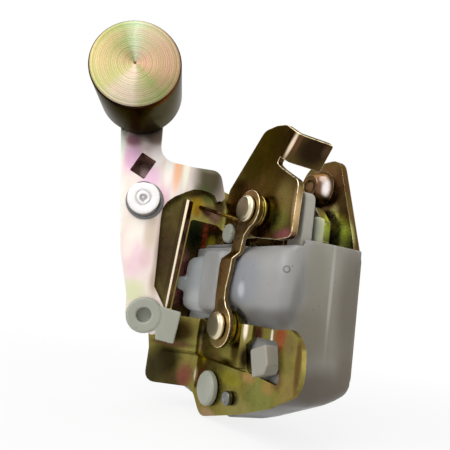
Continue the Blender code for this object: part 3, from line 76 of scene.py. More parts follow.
# The flared lever leg's own axes: u runs left from the fold, h stands off the leg, all in millimetres
FLARE = math.radians(25.3)
LEG_LEFT = np.array((-math.cos(FLARE), math.sin(FLARE), 0.0))
LEG_OUT = np.array((-math.sin(FLARE), -math.cos(FLARE), 0.0))
LEG_START = np.array((-29.5, 37.1, 0.0))
UP = np.array((0.0, 0.0, 1.0))

# How much of the white that every surface shows at a grazing angle the chromate film lets through
GRAZING = "#c6beae"

# Share of its reach that each stain or patch of painted light and shade covers fully, and the size in millimetres
# of the marks that handling leaves
STAIN_CORE = 0.3
HANDLING_MARK = 2.6

# The window flange's crest, where its bend gets a painted highlight: its height on the leg and how softly the
# painted highlight ends, in millimetres
CREST_HEIGHT = 2.45
CREST_BLUR = 0.15

# Which way the window flange's ramp faces
FLANGE_OUT = (0.53, -0.85, -0.05)

# The round mark that an ejector pin leaves: its centre and radius, and the width of its line, in millimetres
EJECTOR_MARK = ((-30.8, -12.6, 4.3), 0.95)
EJECTOR_LINE = 0.45

# Where the band under the weight's rim starts and ends below its face, and the weight's hues by sector: on the
# face film hues with a painted reflection of the turned face's bow-tie sheen, on the side a painted reflection of
# dark surroundings
RIM_BAND = (-3.4, -2.4)
WEIGHT_FACE_HUES_AND_SHEEN = (
    (0.0, "#a58369"), (0.07, "#8d7b58"), (0.12, "#747d4a"), (0.18, "#8a8663"), (0.23, "#b0a294"),
    (0.32, "#b0a28e"), (0.38, "#9f9d68"), (0.5, "#a59468"), (0.6, "#857d51"), (0.67, "#707b50"),
    (0.73, "#95a288"), (0.78, "#918a70"), (0.88, "#987d67"), (1.0, "#a58369"))
WEIGHT_SIDE_PAINTED_REFLECTION = (
    (0.0, "#615749"), (0.08, "#585444"), (0.15, "#49483c"), (0.2, "#25231a"), (0.25, "#17140d"),
    (0.31, "#1a170f"), (0.37, "#353227"), (0.43, "#4e4c40"), (0.52, "#635e50"), (0.75, "#7b7462"),
    (1.0, "#615749"))
WEIGHT_RIM_HUES = (
    (0.0, "#4a3a22"), (0.12, "#6d3f26"), (0.2, "#2a1c0e"), (0.3, "#120e06"), (0.42, "#3c2414"),
    (0.5, "#4a3a22"))

# Edges that bend by more than this stay sharp on turned parts, or are broken on pressed ones, and the least cosine
# between a bend's direction and the faces that belong to it
TURNED_SHARP = math.radians(50.0)
PRESSED_SHARP = math.radians(38.0)
BEND_REACH = 0.97

# How many times the small mouldings, the housing and its dome are relaxed
SMALL_ROUNDS = 3
HOUSING_ROUNDS = 5
DOME_ROUNDS = 120

# The tongue in the lever's square hole, in millimetres: its outer corners' u, z and h, and its thickness
TONGUE = ((24.934, 39.683, 5.975), (28.366, 32.457, 7.325), (33.966, 35.117, 6.625), (30.534, 42.343, 5.275))
TONGUE_THICK = 0.8

# Steps round the springs' wire, and how far its tips stand out as a share of its radius
WIRE_STEPS = 12
WIRE_TIP = 0.4

# Stage, in metres: the floor's half width, the distances between which its paper goes from one white to the other,
# the light of the surroundings, and each lamp's name, place, width and power
FLOOR_REACH = 4.0
PAPER_REACH = (0.08, 0.3)
PAPER_WHITE = (0.84, 1.0)
WORLD_LIGHT = 0.4
LAMPS = (
    ("key_lamp", (-0.42, -0.16, 0.42), 0.6, 2.7), ("side_lamp", (0.3, -0.45, 0.1), 0.35, 0.3),
    ("top_lamp", (0.0, 0.1, 0.6), 0.4, 0.8))

# Camera: its place in metres, its lens in millimetres, and two level directions as it sees them, right, up and
# towards it: the lock's -X, and one that comes nearer
CAMERA_PLACE = (-0.1175, -0.129, -0.007)
CAMERA_LENS = 40.0
LEVEL_LEFT = (-0.857, 0.188, 0.48)
LEVEL_NEAR = (0.085, 0.138, 0.987)

# Radius of the holes that the pins and the rivet run in, in millimetres
PIN_BORE = 3.3

# Centres of what turns or is turned, in millimetres: (u, z) on the leg, (y, z) on the shut face
LEVER_PIVOT = (26.8, 24.6)
WEIGHT_CENTRE = (34.1, 63.8)
HOOK_PIVOT = (8.5, 23.4)
FORK_PIVOT = (13.2, -15.2)
BUMP_CENTRE = (24.6, -36.9)
STOP_CENTRE = (11.2, -37.2)


def linear(colour):
    """An sRGB hex colour as linear red, green, blue and alpha."""
    value = np.array([int(colour[i:i + 2], 16) for i in (1, 3, 5)]) / 255.0
    curved = ((value + 0.055) / 1.055) ** 2.4
    return tuple(float(v) for v in np.where(value <= 0.04045, value / 12.92, curved)) + (1.0,)


def colour_property(name, description, colour):
    """A colour that the user can change, its default written as an sRGB hex value."""
    return FloatVectorProperty(name=name, description=description, subtype='COLOR', size=4, min=0.0, max=1.0,
                               default=linear(colour))


def length_property(name, description, millimetres):
    """A length that the user can change, its default written in millimetres."""
    return FloatProperty(name=name, description=description, subtype='DISTANCE', unit='LENGTH', min=0.0,
                         precision=5, default=millimetres * MM)


class LockSizes(bpy.types.PropertyGroup):
    """Sizes of the finish, which the solids leave plain."""

    sheared_edge: length_property("Sheared edge", "Width of the broken edge on pressed parts", 0.22)
    narrow_edge: length_property("Strap edge", "The same on the strap and the hook lever", 0.2)
    window_edge: length_property("Bracket edge", "The same on the bracket, where it is wider", 0.42)
    turned_edge: length_property("Turned edge", "Radius of the broken edges on turned parts", 0.3)
    mould_radius: length_property("Moulding grain", "Cell size for the housing's mould radii", 0.55)
    small_mould_radius: length_property("Small moulding grain", "The same for the small nylon parts", 0.28)
    turning_pitch: length_property("Turning pitch", "Spacing of the tool marks on the weight's face", 0.7)
    wire_radius: length_property("Wire radius", "Half the thickness of the spring wire", 0.62)
    grain: length_property("Sheet grain", "Size of the fine grain of chromated sheet", 0.35)
    floor_drop: length_property("Floor drop", "Gap from the lowest point of the lock to the floor", 0.3)
    around: IntProperty(name="Steps round", description="Steps round a turned part", min=24, default=96)


class LockColours(bpy.types.PropertyGroup):
    """Base colours of the finishes, before stains and grain."""

    yellow_chromate: colour_property("Yellow chromate", "Bracket, weight's face and bush", "#857a40")
    bronze_chromate: colour_property("Bronze chromate", "Shut plate, hook lever and strap", "#5a4426")
    pale_chromate: colour_property("Pale chromate", "Weighted lever", "#efe0d6")
    # Painted reflection: the dark surroundings that the side of the weight mirrors, mixed into its side
    painted_side_reflection: colour_property("Painted side reflection", "Side of the weight", "#4a4536")
    bright_zinc: colour_property("Bright zinc", "Rivet and washer", "#fbfaf8")
    nylon: colour_property("Natural nylon", "Housing", "#9b9a98")
    rubber: colour_property("Rubber", "Buffer behind the striker", "#1c1b1a")
    oiled_steel: colour_property("Oiled steel", "Fork and pawl", "#4c4a46")
    backdrop: colour_property("Backdrop", "Floor and everything behind the lock", "#ffffff")


# ---- nodes and materials ----


def fill(tree, node, inputs):
    """Give each input of a node, by name or number, a value or a link from a socket."""
    for key, value in inputs.items():
        if isinstance(value, bpy.types.NodeSocket):
            tree.links.new(value, node.inputs[key])
        else:
            node.inputs[key].default_value = value


def add(tree, kind, settings=None, inputs=None):
    """Add a shader node with its settings and its inputs."""
    node = tree.nodes.new('ShaderNode' + kind)
    for key, value in (settings or {}).items():
        setattr(node, key, value)
    fill(tree, node, inputs or {})
    return node


def maths(tree, operation, *values):
    """One step of arithmetic on numbers or sockets."""
    return add(tree, 'Math', {"operation": operation}, dict(enumerate(values))).outputs["Value"]


def noise(tree, place, scale, detail=2.0, roughness=0.5, distortion=0.0):
    """Soft noise from 0 to 1, its scale per unit of the place's coordinates."""
    return add(tree, 'TexNoise', inputs={"Vector": place, "Scale": scale, "Detail": detail, "Roughness": roughness,
                                         "Distortion": distortion}).outputs["Fac"]


def ring_noise(tree, radius, scale):
    """Noise that changes only with the distance from the axis."""
    return add(tree, 'TexNoise', {"noise_dimensions": '1D'},
               {"W": radius, "Scale": scale, "Detail": 2.0}).outputs["Fac"]


def ranged(tree, value, low, high, to_low=0.0, to_high=1.0, kind='LINEAR'):
    """Carry the range from low to high over to another one, held at its ends."""
    return add(tree, 'MapRange', {"interpolation_type": kind},
               {"Value": value, "From Min": low, "From Max": high, "To Min": to_low,
                "To Max": to_high}).outputs["Result"]


def mixed(tree, share, first, second):
    """Lay a second colour over a first by a share."""
    return add(tree, 'Mix', {"data_type": 'RGBA'}, {0: share, 6: first, 7: second}).outputs[2]


def length(tree, place):
    """How far a place lies from the origin."""
    return add(tree, 'VectorMath', {"operation": 'LENGTH'}, {0: place}).outputs["Value"]


def shaded(tree, colour, share):
    """A colour made lighter or darker by a share."""
    return add(tree, 'VectorMath', {"operation": 'SCALE'}, {0: colour, "Scale": share}).outputs["Vector"]


def bumped(tree, height, strength, depth):
    """The normal of a skin raised by a height, its depth in millimetres."""
    return add(tree, 'Bump', inputs={"Height": height, "Strength": strength,
                                     "Distance": depth * MM}).outputs["Normal"]


def hues(tree, value, stops):
    """Colours by a value from 0 to 1, from (position, hex colour) stops."""
    ramp = add(tree, 'ValToRGB', inputs={"Fac": value})
    elements = ramp.color_ramp.elements
    while len(elements) < len(stops):
        elements.new(1.0)
    for element, (position, colour) in zip(elements, stops):
        element.position = position
        element.color = linear(colour)
    return ramp.outputs["Color"]


def bare_tree(owner):
    """The nodes of a material or a world, switched on and emptied."""
    owner.use_nodes = True
    owner.node_tree.nodes.clear()
    return owner.node_tree


def seen_straight(tree):
    """1 for what the camera sees, itself or in a reflection, and 0 for light."""
    seen = add(tree, 'LightPath').outputs
    return maths(tree, 'MAXIMUM', seen["Is Camera Ray"], seen["Is Glossy Ray"])


def new_material(name):
    """An empty material with a Principled shader on its output, as (material, tree, shader)."""
    material = bpy.data.materials.new(name)
    tree = bare_tree(material)
    shader = add(tree, 'BsdfPrincipled')
    add(tree, 'OutputMaterial', inputs={"Surface": shader.outputs["BSDF"]})
    return material, tree, shader


def own_place(tree):
    """A piece's own coordinates, in metres."""
    return add(tree, 'TexCoord').outputs["Object"]


def turned_place(tree):
    """A turned surface's own place in millimetres, that place's three parts, and the distance from the axis."""
    turn = add(tree, 'Attribute', {"attribute_name": "turn"}).outputs["Vector"]
    parts = add(tree, 'SeparateXYZ', inputs={"Vector": turn}).outputs
    flat = add(tree, 'CombineXYZ', inputs={"X": parts["X"], "Y": parts["Y"]})
    return turn, parts, length(tree, flat.outputs["Vector"])


def stained_and_lit(tree, place, colour, stains_and_light):
    """Lay soft-edged marks over a colour, stains and painted light and shade alike, each over the ones before it.

    Each is its centre and reach in millimetres, a hex colour and a strength, and for a streak a turn about X in
    degrees.
    """
    for x, y, z, deep, wide, high, mark_colour, strength, *turn in stains_and_light:
        local = add(tree, 'Mapping', {"vector_type": 'TEXTURE'},
                    {"Vector": place, "Location": (x * MM, y * MM, z * MM),
                     "Rotation": (math.radians(sum(turn)), 0.0, 0.0), "Scale": (deep * MM, wide * MM, high * MM)})
        apart = length(tree, local.outputs["Vector"])
        share = ranged(tree, apart, 1.0, STAIN_CORE, 0.0, strength, 'SMOOTHSTEP')
        colour = mixed(tree, share, colour, linear(mark_colour))
    return colour


def chromated_sheet(name, base, tones, stains_and_light, roughness=0.3, cloud=14.0, cloud_share=0.45, dark=0.16, marks=0.15):
    """Pressed steel, zinc plated and chromated: satin metal whose film drifts in hue, with a fine rolled grain,
    and stains and painted light and shade laid over it.
    """
    sizes = bpy.context.scene.lock_sizes
    material, tree, shader = new_material(name)
    place = own_place(tree)

    # The film is thicker in places, so that its hue drifts in clouds
    drift = noise(tree, place, 1.0 / (cloud * MM), 2.5, 0.5, 0.6)
    colour = stained_and_lit(tree, place, mixed(tree, cloud_share, tuple(base), hues(tree, drift, tones)), stains_and_light)

    # Grain of the rolled sheet, and a few darker handling marks
    grain = noise(tree, place, 1.0 / sizes.grain, 3.0, 0.6)
    handling = noise(tree, place, 1.0 / (HANDLING_MARK * MM), 4.0, 0.7)
    shade = maths(tree, 'MULTIPLY_ADD', grain, dark, 1.0 - 0.5 * dark)
    spots = ranged(tree, handling, 0.36, 0.5, 1.0 - marks, 1.0)
    fill(tree, shader, {
        "Base Color": shaded(tree, colour, maths(tree, 'MULTIPLY', shade, spots)),
        "Roughness": ranged(tree, handling, 0.3, 0.7, roughness + 0.1, roughness - 0.06),
        "Normal": bumped(tree, grain, 0.12, 0.04), "Metallic": 1.0, "Specular Tint": linear(GRAZING)})
    return material


def sheared_edge(name, *tones):
    """The edge that the press has sheared and the tumbler has broken: brighter than the face, partly because the
    film is thin there and partly as a painted highlight.
    """
    material, tree, shader = new_material(name)
    wear = noise(tree, own_place(tree), 1.0 / (1.6 * MM), 3.0)
    fill(tree, shader, {"Base Color": hues(tree, wear, tuple(zip((0.3, 0.5, 0.7), tones))), "Roughness": 0.3,
                        "Metallic": 1.0})
    return material


def painted_bend_highlight():
    """The window flange's bend: a near-white painted highlight along its crest, rosy brown below."""
    material, tree, shader = new_material("painted_bend_highlight")
    place = own_place(tree)
    height = add(tree, 'VectorMath', {"operation": 'DOT_PRODUCT'}, {0: place, 1: tuple(LEG_OUT)}).outputs["Value"]
    crest = float(LEG_START @ LEG_OUT) + CREST_HEIGHT
    share = ranged(tree, height, (crest - CREST_BLUR) * MM, (crest + CREST_BLUR) * MM)
    wear = noise(tree, place, 1.0 / (2.4 * MM), 3.0)
    film = hues(tree, wear, ((0.3, "#6b3a34"), (0.5, "#8a5a44"), (0.7, "#b07c50")))

    # The crest is round in the real part, so the light falls there as on a face that lies along the leg
    outward = add(tree, 'VectorTransform', {"vector_type": 'NORMAL', "convert_from": 'OBJECT',
                                            "convert_to": 'WORLD'}, {"Vector": tuple(LEG_OUT)})
    flat = add(tree, 'NewGeometry').outputs["Normal"]
    facing = add(tree, 'Mix', {"data_type": 'VECTOR'}, {0: share, 4: flat, 5: outward.outputs["Vector"]})
    # Near-white along the crest: a painted highlight
    fill(tree, shader, {"Base Color": mixed(tree, share, film, linear("#fff2d2")), "Normal": facing.outputs[1],
                        "Roughness": 0.35, "Metallic": 1.0})
    return material


def turned_weight():
    """Free-cutting steel bar, faced and turned, then yellow chromated: tool rings, and hues by sector that are
    partly film and partly painted reflection.
    """
    sizes, colours = bpy.context.scene.lock_sizes, bpy.context.scene.lock_colours
    material, tree, shader = new_material("turned_chromated_steel")
    turn, parts, radius = turned_place(tree)

    # Hues of the face go by sector: pink, green, pale, gold, green, pale; the pale sectors are a painted
    # reflection, the bow-tie sheen of a turned face
    share = ranged(tree, maths(tree, 'ARCTAN2', parts["Y"], parts["X"]), -math.pi, math.pi)
    bent = maths(tree, 'MULTIPLY_ADD', noise(tree, turn, 0.16), 0.1, share)
    sector = maths(tree, 'SUBTRACT', bent, 0.05)
    bands = hues(tree, ring_noise(tree, radius, 0.42), ((0.34, "#828d58"), (0.5, "#ad9f77"), (0.66, "#ad8278")))
    film = mixed(tree, 0.24, hues(tree, sector, WEIGHT_FACE_HUES_AND_SHEEN), bands)

    # Tool rings, a little uneven in spacing and depth, with grit between them
    moved = maths(tree, 'MULTIPLY_ADD', ring_noise(tree, radius, 0.9), 1.1, radius)
    wave = maths(tree, 'SINE', maths(tree, 'MULTIPLY', moved, 2.0 * math.pi / (sizes.turning_pitch / MM)))
    chatter = noise(tree, turn, 2.4, 4.0, 0.7)
    grit = maths(tree, 'MULTIPLY_ADD', chatter, 0.8, 0.66)
    ring = maths(tree, 'MULTIPLY', wave, chatter)
    faced = shaded(tree, film, maths(tree, 'MULTIPLY_ADD', ring, 0.27, grit))

    # The side is painted dark, a painted reflection of dark surroundings, darkest underneath, with a red-brown
    # band under the face's rim
    side = mixed(tree, 0.12, hues(tree, sector, WEIGHT_SIDE_PAINTED_REFLECTION), tuple(colours.painted_side_reflection))
    band = ranged(tree, parts["Z"], *RIM_BAND, 0.0, 0.9, 'SMOOTHSTEP')
    under_rim = mixed(tree, band, side, hues(tree, sector, WEIGHT_RIM_HUES))
    is_face = maths(tree, 'GREATER_THAN', parts["Z"], -0.25)
    tangent = add(tree, 'Tangent', {"direction_type": 'UV_MAP', "uv_map": "turning"})
    fill(tree, shader, {
        "Base Color": mixed(tree, is_face, under_rim, faced),
        "Roughness": ranged(tree, is_face, 0.0, 1.0, 0.26, 0.45), "Normal": bumped(tree, ring, 0.35, 0.03),
        "Tangent": tangent.outputs["Tangent"], "Metallic": 1.0, "Anisotropic": 0.45,
        "Specular Tint": linear("#b6b3ac")})
    return material


def turned_metal(name, light, dark, rim, pitch, roughness=0.3, stamped=0.0):
    """Turned and plated steel: fine tool rings round the axis, dents of the riveting tool, and below the top face
    a rim colour of its own, on the bronze pins a painted highlight.
    """
    material, tree, shader = new_material(name)
    turn, parts, radius = turned_place(tree)
    wave = maths(tree, 'SINE', maths(tree, 'MULTIPLY', radius, 2.0 * math.pi / pitch))
    marks = noise(tree, turn, 0.9, 4.0, 0.65)
    height = maths(tree, 'MULTIPLY_ADD', noise(tree, turn, 1.7), stamped, wave)
    top = ranged(tree, parts["Z"], -0.5, -0.2)
    fill(tree, shader, {
        "Base Color": mixed(tree, top, linear(rim), mixed(tree, marks, tuple(dark), tuple(light))),
        "Roughness": ranged(tree, marks, 0.3, 0.7, roughness + 0.1, roughness - 0.05),
        "Normal": bumped(tree, height, 0.25, 0.03), "Metallic": 1.0})
    return material


def moulded_nylon(name, base, stains_and_light=(), marks=()):
    """Natural nylon 6, injection moulded: milky and a little see-through, satin, with faint flow and dirt, and
    stains and painted light and shade laid over it.
    """
    material, tree, shader = new_material(name)
    place = own_place(tree)
    flow = noise(tree, place, 1.0 / (11.0 * MM), 3.0, 0.5, 0.8)
    milky = mixed(tree, flow, tuple(0.86 * value for value in base[:3]) + (1.0,),
                  tuple(min(1.1 * value, 1.0) for value in base[:3]) + (1.0,))
    colour = stained_and_lit(tree, place, milky, stains_and_light)

    # Specks of dirt, and the ring that an ejector pin leaves
    dirt = noise(tree, place, 1.0 / (1.1 * MM), 1.0)
    colour = mixed(tree, ranged(tree, dirt, 0.735, 0.78, 0.0, 0.55), colour, linear("#4b4742"))
    for centre, radius in marks:
        apart = add(tree, 'VectorMath', {"operation": 'DISTANCE'}, {0: place, 1: tuple(v * MM for v in centre)})
        near = maths(tree, 'ABSOLUTE', maths(tree, 'SUBTRACT', apart.outputs["Value"], radius * MM))
        line = ranged(tree, near, EJECTOR_LINE * MM, 0.0, 0.0, 0.85, 'SMOOTHSTEP')
        colour = mixed(tree, line, colour, linear("#55514b"))
    skin = noise(tree, place, 1.0 / (0.8 * MM), 4.0)
    fill(tree, shader, {
        "Base Color": colour, "Roughness": ranged(tree, flow, 0.3, 0.7, 0.5, 0.38),
        "Normal": bumped(tree, skin, 0.1, 0.05), "IOR": 1.53, "Subsurface Weight": 0.35,
        "Subsurface Radius": (1.0, 0.95, 0.85), "Subsurface Scale": 1.6 * MM})
    return material


def moulded_rubber():
    """Black rubber, moulded: matt, with a fine pitted skin."""
    colours = bpy.context.scene.lock_colours
    material, tree, shader = new_material("moulded_rubber")
    pits = noise(tree, own_place(tree), 1.0 / (0.4 * MM), 4.0)
    fill(tree, shader, {"Base Color": mixed(tree, pits, tuple(colours.rubber), linear("#33312f")),
                        "Normal": bumped(tree, pits, 0.3, 0.05), "Roughness": 0.75})
    return material


# ---- surfaces ----


def on_leg(u, z, h):
    """Millimetres in the lever leg's axes, as metres in the lock."""
    return (LEG_START + u[..., None] * LEG_LEFT + h[..., None] * LEG_OUT + z[..., None] * UP) * MM


def on_face(y, z, depth):
    """Millimetres on the shut face and behind it, as metres in the lock."""
    return np.stack([-depth, y, z], axis=-1) * MM


def softened(profile, radius, closed=False, steps=4):
    """Round a profile's corners: each becomes a quadratic curve from a reach before it to a reach after it."""
    points = np.asarray(profile, float)
    before, after = np.roll(points, 1, axis=0), np.roll(points, -1, axis=0)
    back, ahead = before - points, after - points
    back_length = np.linalg.norm(back, axis=1, keepdims=True)
    ahead_length = np.linalg.norm(ahead, axis=1, keepdims=True)
    reach = np.minimum(radius, 0.45 * np.minimum(back_length, ahead_length))
    start = points + back / np.maximum(back_length, 1e-9) * reach
    stop = points + ahead / np.maximum(ahead_length, 1e-9) * reach
    share = np.linspace(0.0, 1.0, steps)[None, :, None]
    curves = ((1 - share) ** 2 * start[:, None] + 2 * share * (1 - share) * points[:, None]
              + share ** 2 * stop[:, None])
    if closed:
        return curves.reshape(-1, 2)
    return np.concatenate([points[:1], curves[1:-1].reshape(-1, 2), points[-1:]])


def show(name, mesh, node, material, *more):
    """Put a finished mesh in the scene in place of a CAD node, riding on that node's body."""
    made = bpy.data.objects.new(name, mesh)
    bpy.context.scene.collection.objects.link(made)
    mesh.materials.clear()
    for each in (material, *more):
        mesh.materials.append(each)
    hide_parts(node)
    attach(made, BODY_OF[node])
    return made


def close_up(mesh):
    """Join the points that coincide at seams and poles, turn the faces outward and shade them smooth."""
    work = bmesh.new()
    work.from_mesh(mesh)
    bmesh.ops.remove_doubles(work, verts=work.verts[:], dist=1e-7)
    bmesh.ops.recalc_face_normals(work, faces=work.faces[:])
    work.to_mesh(mesh)
    work.free()
    mesh.shade_smooth()


def ringed(name, points, closed=False):
    """A mesh of rings of points, each joined to the next one, and the last to the first where it is closed.

    Gives the mesh, and for its faces the ring that each starts from, the ring that it goes to and its step.
    """
    rows, around = points.shape[:2]
    i, j = np.meshgrid(np.arange(rows if closed else rows - 1), np.arange(around), indexing='ij')
    up, next_j = (i + 1) % rows, (j + 1) % around
    faces = np.stack([i * around + j, i * around + next_j, up * around + next_j, up * around + j], -1)
    mesh = bpy.data.meshes.new(name)
    mesh.from_pydata(points.reshape(-1, 3).tolist(), [], faces.reshape(-1, 4).tolist())
    return mesh, i, up, j


def turned(name, node, profile, centre, place, material, closed=False):
    """Surface of revolution: point (i, j) is the profile's i-th (radius, height) at j steps round its centre.

    The mesh keeps the point's place from its axis and its top in millimetres as "turn", and a "turning" UV map
    whose first direction runs round the axis. A closed profile makes a ring, and an open one starts and ends on
    the axis.
    """
    sizes = bpy.context.scene.lock_sizes
    outline = softened(profile, sizes.turned_edge / MM, closed)
    around = sizes.around
    angle = 2 * math.pi * np.arange(around) / around
    across = outline[:, 0, None] * np.cos(angle)
    along = outline[:, 0, None] * np.sin(angle)
    height = np.repeat(outline[:, 1, None], around, axis=1)
    mesh, i, up, j = ringed(name, place(across + centre[0], along + centre[1], height), closed)
    run = np.concatenate([[0.0], np.cumsum(np.linalg.norm(np.diff(outline, axis=0), axis=1))]) / 10.0
    low_u, high_u = (j / around).ravel(), ((j + 1) / around).ravel()
    low_v, high_v = run[i].ravel(), run[up].ravel()
    chart = np.stack([low_u, low_v, high_u, low_v, high_u, high_v, low_u, high_v], -1)
    mesh.uv_layers.new(name="turning").data.foreach_set("uv", chart.astype(np.float32).ravel())
    own = np.stack([across, along, height - height.max()], -1).astype(np.float32)
    mesh.attributes.new("turn", 'FLOAT_VECTOR', 'POINT').data.foreach_set("vector", own.ravel())
    close_up(mesh)
    mesh.set_sharp_from_angle(angle=TURNED_SHARP)
    return show(name, mesh, node, material)


def sleeve(outer, low, high):
    """Closed profile of a plain sleeve with the pins' bore."""
    return (PIN_BORE, low), (outer, low), (outer, high), (PIN_BORE, high)


def merged_copy(name, node, flat=0.4):
    """A CAD node's shape with its loose triangles joined and its flat areas made whole."""
    work = bmesh.new()
    work.from_mesh(frame["nodes"][node].data)
    bmesh.ops.remove_doubles(work, verts=work.verts[:], dist=1e-6)
    if flat:
        bmesh.ops.dissolve_limit(work, angle_limit=math.radians(flat), verts=work.verts[:], edges=work.edges[:])
    mesh = bpy.data.meshes.new(name)
    work.to_mesh(mesh)
    work.free()
    normals = mesh.attributes.get("custom_normal")
    if normals:
        mesh.attributes.remove(normals)
    mesh.shade_smooth()
    return mesh


def half_sheared_tongue(mesh, slot):
    """Close the lever's square hole with the tongue that the punch has left: a plate that lies askew."""
    u, z, outer = np.array(TONGUE).T
    corners = np.concatenate([on_leg(u, z, outer), on_leg(u, z, outer - TONGUE_THICK)])
    work = bmesh.new()
    work.from_mesh(mesh)
    made = [work.verts.new(tuple(corner)) for corner in corners]
    for face in ((0, 1, 2, 3), (7, 6, 5, 4), (0, 4, 5, 1), (1, 5, 6, 2), (2, 6, 7, 3), (3, 7, 4, 0)):
        work.faces.new([made[i] for i in face]).material_index = slot
    bmesh.ops.recalc_face_normals(work, faces=work.faces[-6:])
    work.to_mesh(mesh)
    work.free()


def pressed(name, node, material, edge_material, width=None, bend=None, full=False):
    """Pressed sheet: the solid with its sheared edges broken by a narrow round.

    bend is (direction, material) for flat faces that face that way and have a finish of their own. full keeps the
    round's whole width where short edges would narrow it.
    """
    sizes = bpy.context.scene.lock_sizes
    mesh = merged_copy(name, node)
    made = show(name, mesh, node, material, edge_material, *(bend or ())[1:])
    if bend:
        facing = np.empty(len(mesh.polygons) * 3)
        mesh.polygons.foreach_get("normal", facing)
        toward = np.array(bend[0]) / np.linalg.norm(bend[0])
        bent = facing.reshape(-1, 3) @ toward > BEND_REACH
        mesh.polygons.foreach_set("material_index", np.where(bent, 2, 0).tolist())
    edge = made.modifiers.new("broken edge", 'BEVEL')
    edge.width = width or sizes.sheared_edge
    edge.segments = 2
    edge.limit_method = 'ANGLE'
    edge.angle_limit = PRESSED_SHARP
    edge.material = 1
    edge.use_clamp_overlap = not full
    made.modifiers.new("flat faces", 'WEIGHTED_NORMAL')
    return made


def points_of(mesh):
    """A mesh's vertices as rows of x, y and z, in metres."""
    points = np.empty(len(mesh.vertices) * 3)
    mesh.vertices.foreach_get("co", points)
    return points.reshape(-1, 3)


def relaxed(mesh, rounds, share):
    """Move every vertex half its share of the way to the mean of its neighbours, a number of times.

    share takes the vertices in millimetres and gives each a number from 0 (held) to 1 (free).
    """
    count = len(mesh.vertices)
    points = points_of(mesh)
    ends = np.empty(len(mesh.edges) * 2, int)
    mesh.edges.foreach_get("vertices", ends)
    one, other = ends.reshape(-1, 2).T
    neighbours = np.maximum(np.bincount(ends, minlength=count), 1)[:, None]
    free = 0.5 * share(points / MM)[:, None]
    for _ in range(rounds):
        sums = [np.bincount(one, points[other, axis], count) + np.bincount(other, points[one, axis], count)
                for axis in range(3)]
        points = points + free * (np.stack(sums, -1) / neighbours - points)
    mesh.vertices.foreach_set("co", points.ravel())
    mesh.update()


def moulded(name, node, material, cell, *passes):
    """Moulded part: the solid worked over in small cells and relaxed, so that every edge gets a mould radius."""
    made = show(name, merged_copy(name, node, 0.0), node, material)
    skin = made.modifiers.new("mould skin", 'REMESH')
    skin.mode = 'VOXEL'
    skin.voxel_size = cell
    bpy.context.view_layer.update()
    finished = made.evaluated_get(bpy.context.evaluated_depsgraph_get())
    mesh = bpy.data.meshes.new_from_object(finished)
    mesh.name = name
    made.modifiers.clear()
    made.data = mesh
    for rounds, share in passes:
        relaxed(mesh, rounds, share)
    mesh.shade_smooth()
    return made


def everywhere(points):
    """Every vertex is free."""
    return np.ones(len(points))


def bulged_dome(mesh):
    """Swell the housing's dome in millimetres: sideways by 2.6 (1 - p) and forward by 0.9 (1 - q), if positive.

    p is ((x + 33) / 9.4)^2 + ((z + 0.6) / 13.8)^2, and q is ((y - 4) / 15)^2 + ((z + 0.6) / 12)^2. The first sets
    in over 7 mm from y = -2, the second over 4 mm from x = -26.
    """
    x, y, z = points_of(mesh).T / MM
    side = np.clip(1 - ((x + 33) / 9.4) ** 2 - ((z + 0.6) / 13.8) ** 2, 0, 1) * np.clip((-2 - y) / 7, 0, 1)
    front = np.clip(1 - ((y - 4) / 15) ** 2 - ((z + 0.6) / 12) ** 2, 0, 1) * np.clip((-26 - x) / 4, 0, 1)
    mesh.vertices.foreach_set("co", (np.stack([x - 0.9 * front, y - 2.6 * side, z], -1) * MM).ravel())
    mesh.update()


def dome_only(points):
    """Only the housing's round dome is free: what stands proud of the tray, right of the strap."""
    proud = np.clip((-points[:, 0] - 26.0) / 3.0, 0.0, 1.0)
    right = np.clip((22.5 - points[:, 1]) / 3.0, 0.0, 1.0)
    return (proud * right) ** 2 * (3 - 2 * proud * right)


def wound(name, node, centre, radius, low, high, turns, first, last, material):
    """Torsion spring: a round wire carried along a straight leg, a helix and a second straight leg.

    The helix goes clockwise round its axis as its depth grows evenly, the legs leave it along its tangents,
    and each ring of the wire lies square to the path, its first direction taken from the axis.
    """
    sizes = bpy.context.scene.lock_sizes
    here = np.array(centre, float)

    def leaving(leg, way):
        out = np.array(leg[:2]) - here
        return math.atan2(out[1], out[0]) + way * math.acos(min(radius / np.linalg.norm(out), 1.0))

    start, stop = leaving(first, -1), leaving(last, 1)
    stop -= 2 * math.pi * (turns + math.floor((stop - start) / (2 * math.pi)))
    if stop > start - 2 * math.pi * turns:
        stop -= 2 * math.pi
    angle = np.linspace(start, stop, int((start - stop) * 10) + 2)
    coil = np.stack([here[0] + radius * np.cos(angle), here[1] + radius * np.sin(angle),
                     np.linspace(low, high, len(angle))], -1)
    share = np.linspace(0.0, 1.0, 8)[:-1, None]
    path = np.concatenate([np.array(first) * (1 - share) + coil[0] * share, coil,
                           (np.array(last) * (1 - share) + coil[-1] * share)[::-1]])
    way = np.gradient(path, axis=0)
    way /= np.linalg.norm(way, axis=1, keepdims=True)
    side = np.cross(way, (0.0, 0.0, 1.0))
    side /= np.linalg.norm(side, axis=1, keepdims=True)
    thick = sizes.wire_radius / MM
    turn = 2 * math.pi * np.arange(WIRE_STEPS)[:, None] / WIRE_STEPS
    rings = side[:, None] * np.cos(turn) + np.cross(side, way)[:, None] * np.sin(turn)
    tips = path[[0, -1]] + WIRE_TIP * thick * way[[0, -1]] * [[-1], [1]]
    tips = np.repeat(tips[:, None], WIRE_STEPS, axis=1)
    grid = np.concatenate([tips[:1], path[:, None] + thick * rings, tips[1:]])
    mesh = ringed(name, on_face(*np.moveaxis(grid, -1, 0)))[0]
    close_up(mesh)
    return show(name, mesh, node, material)
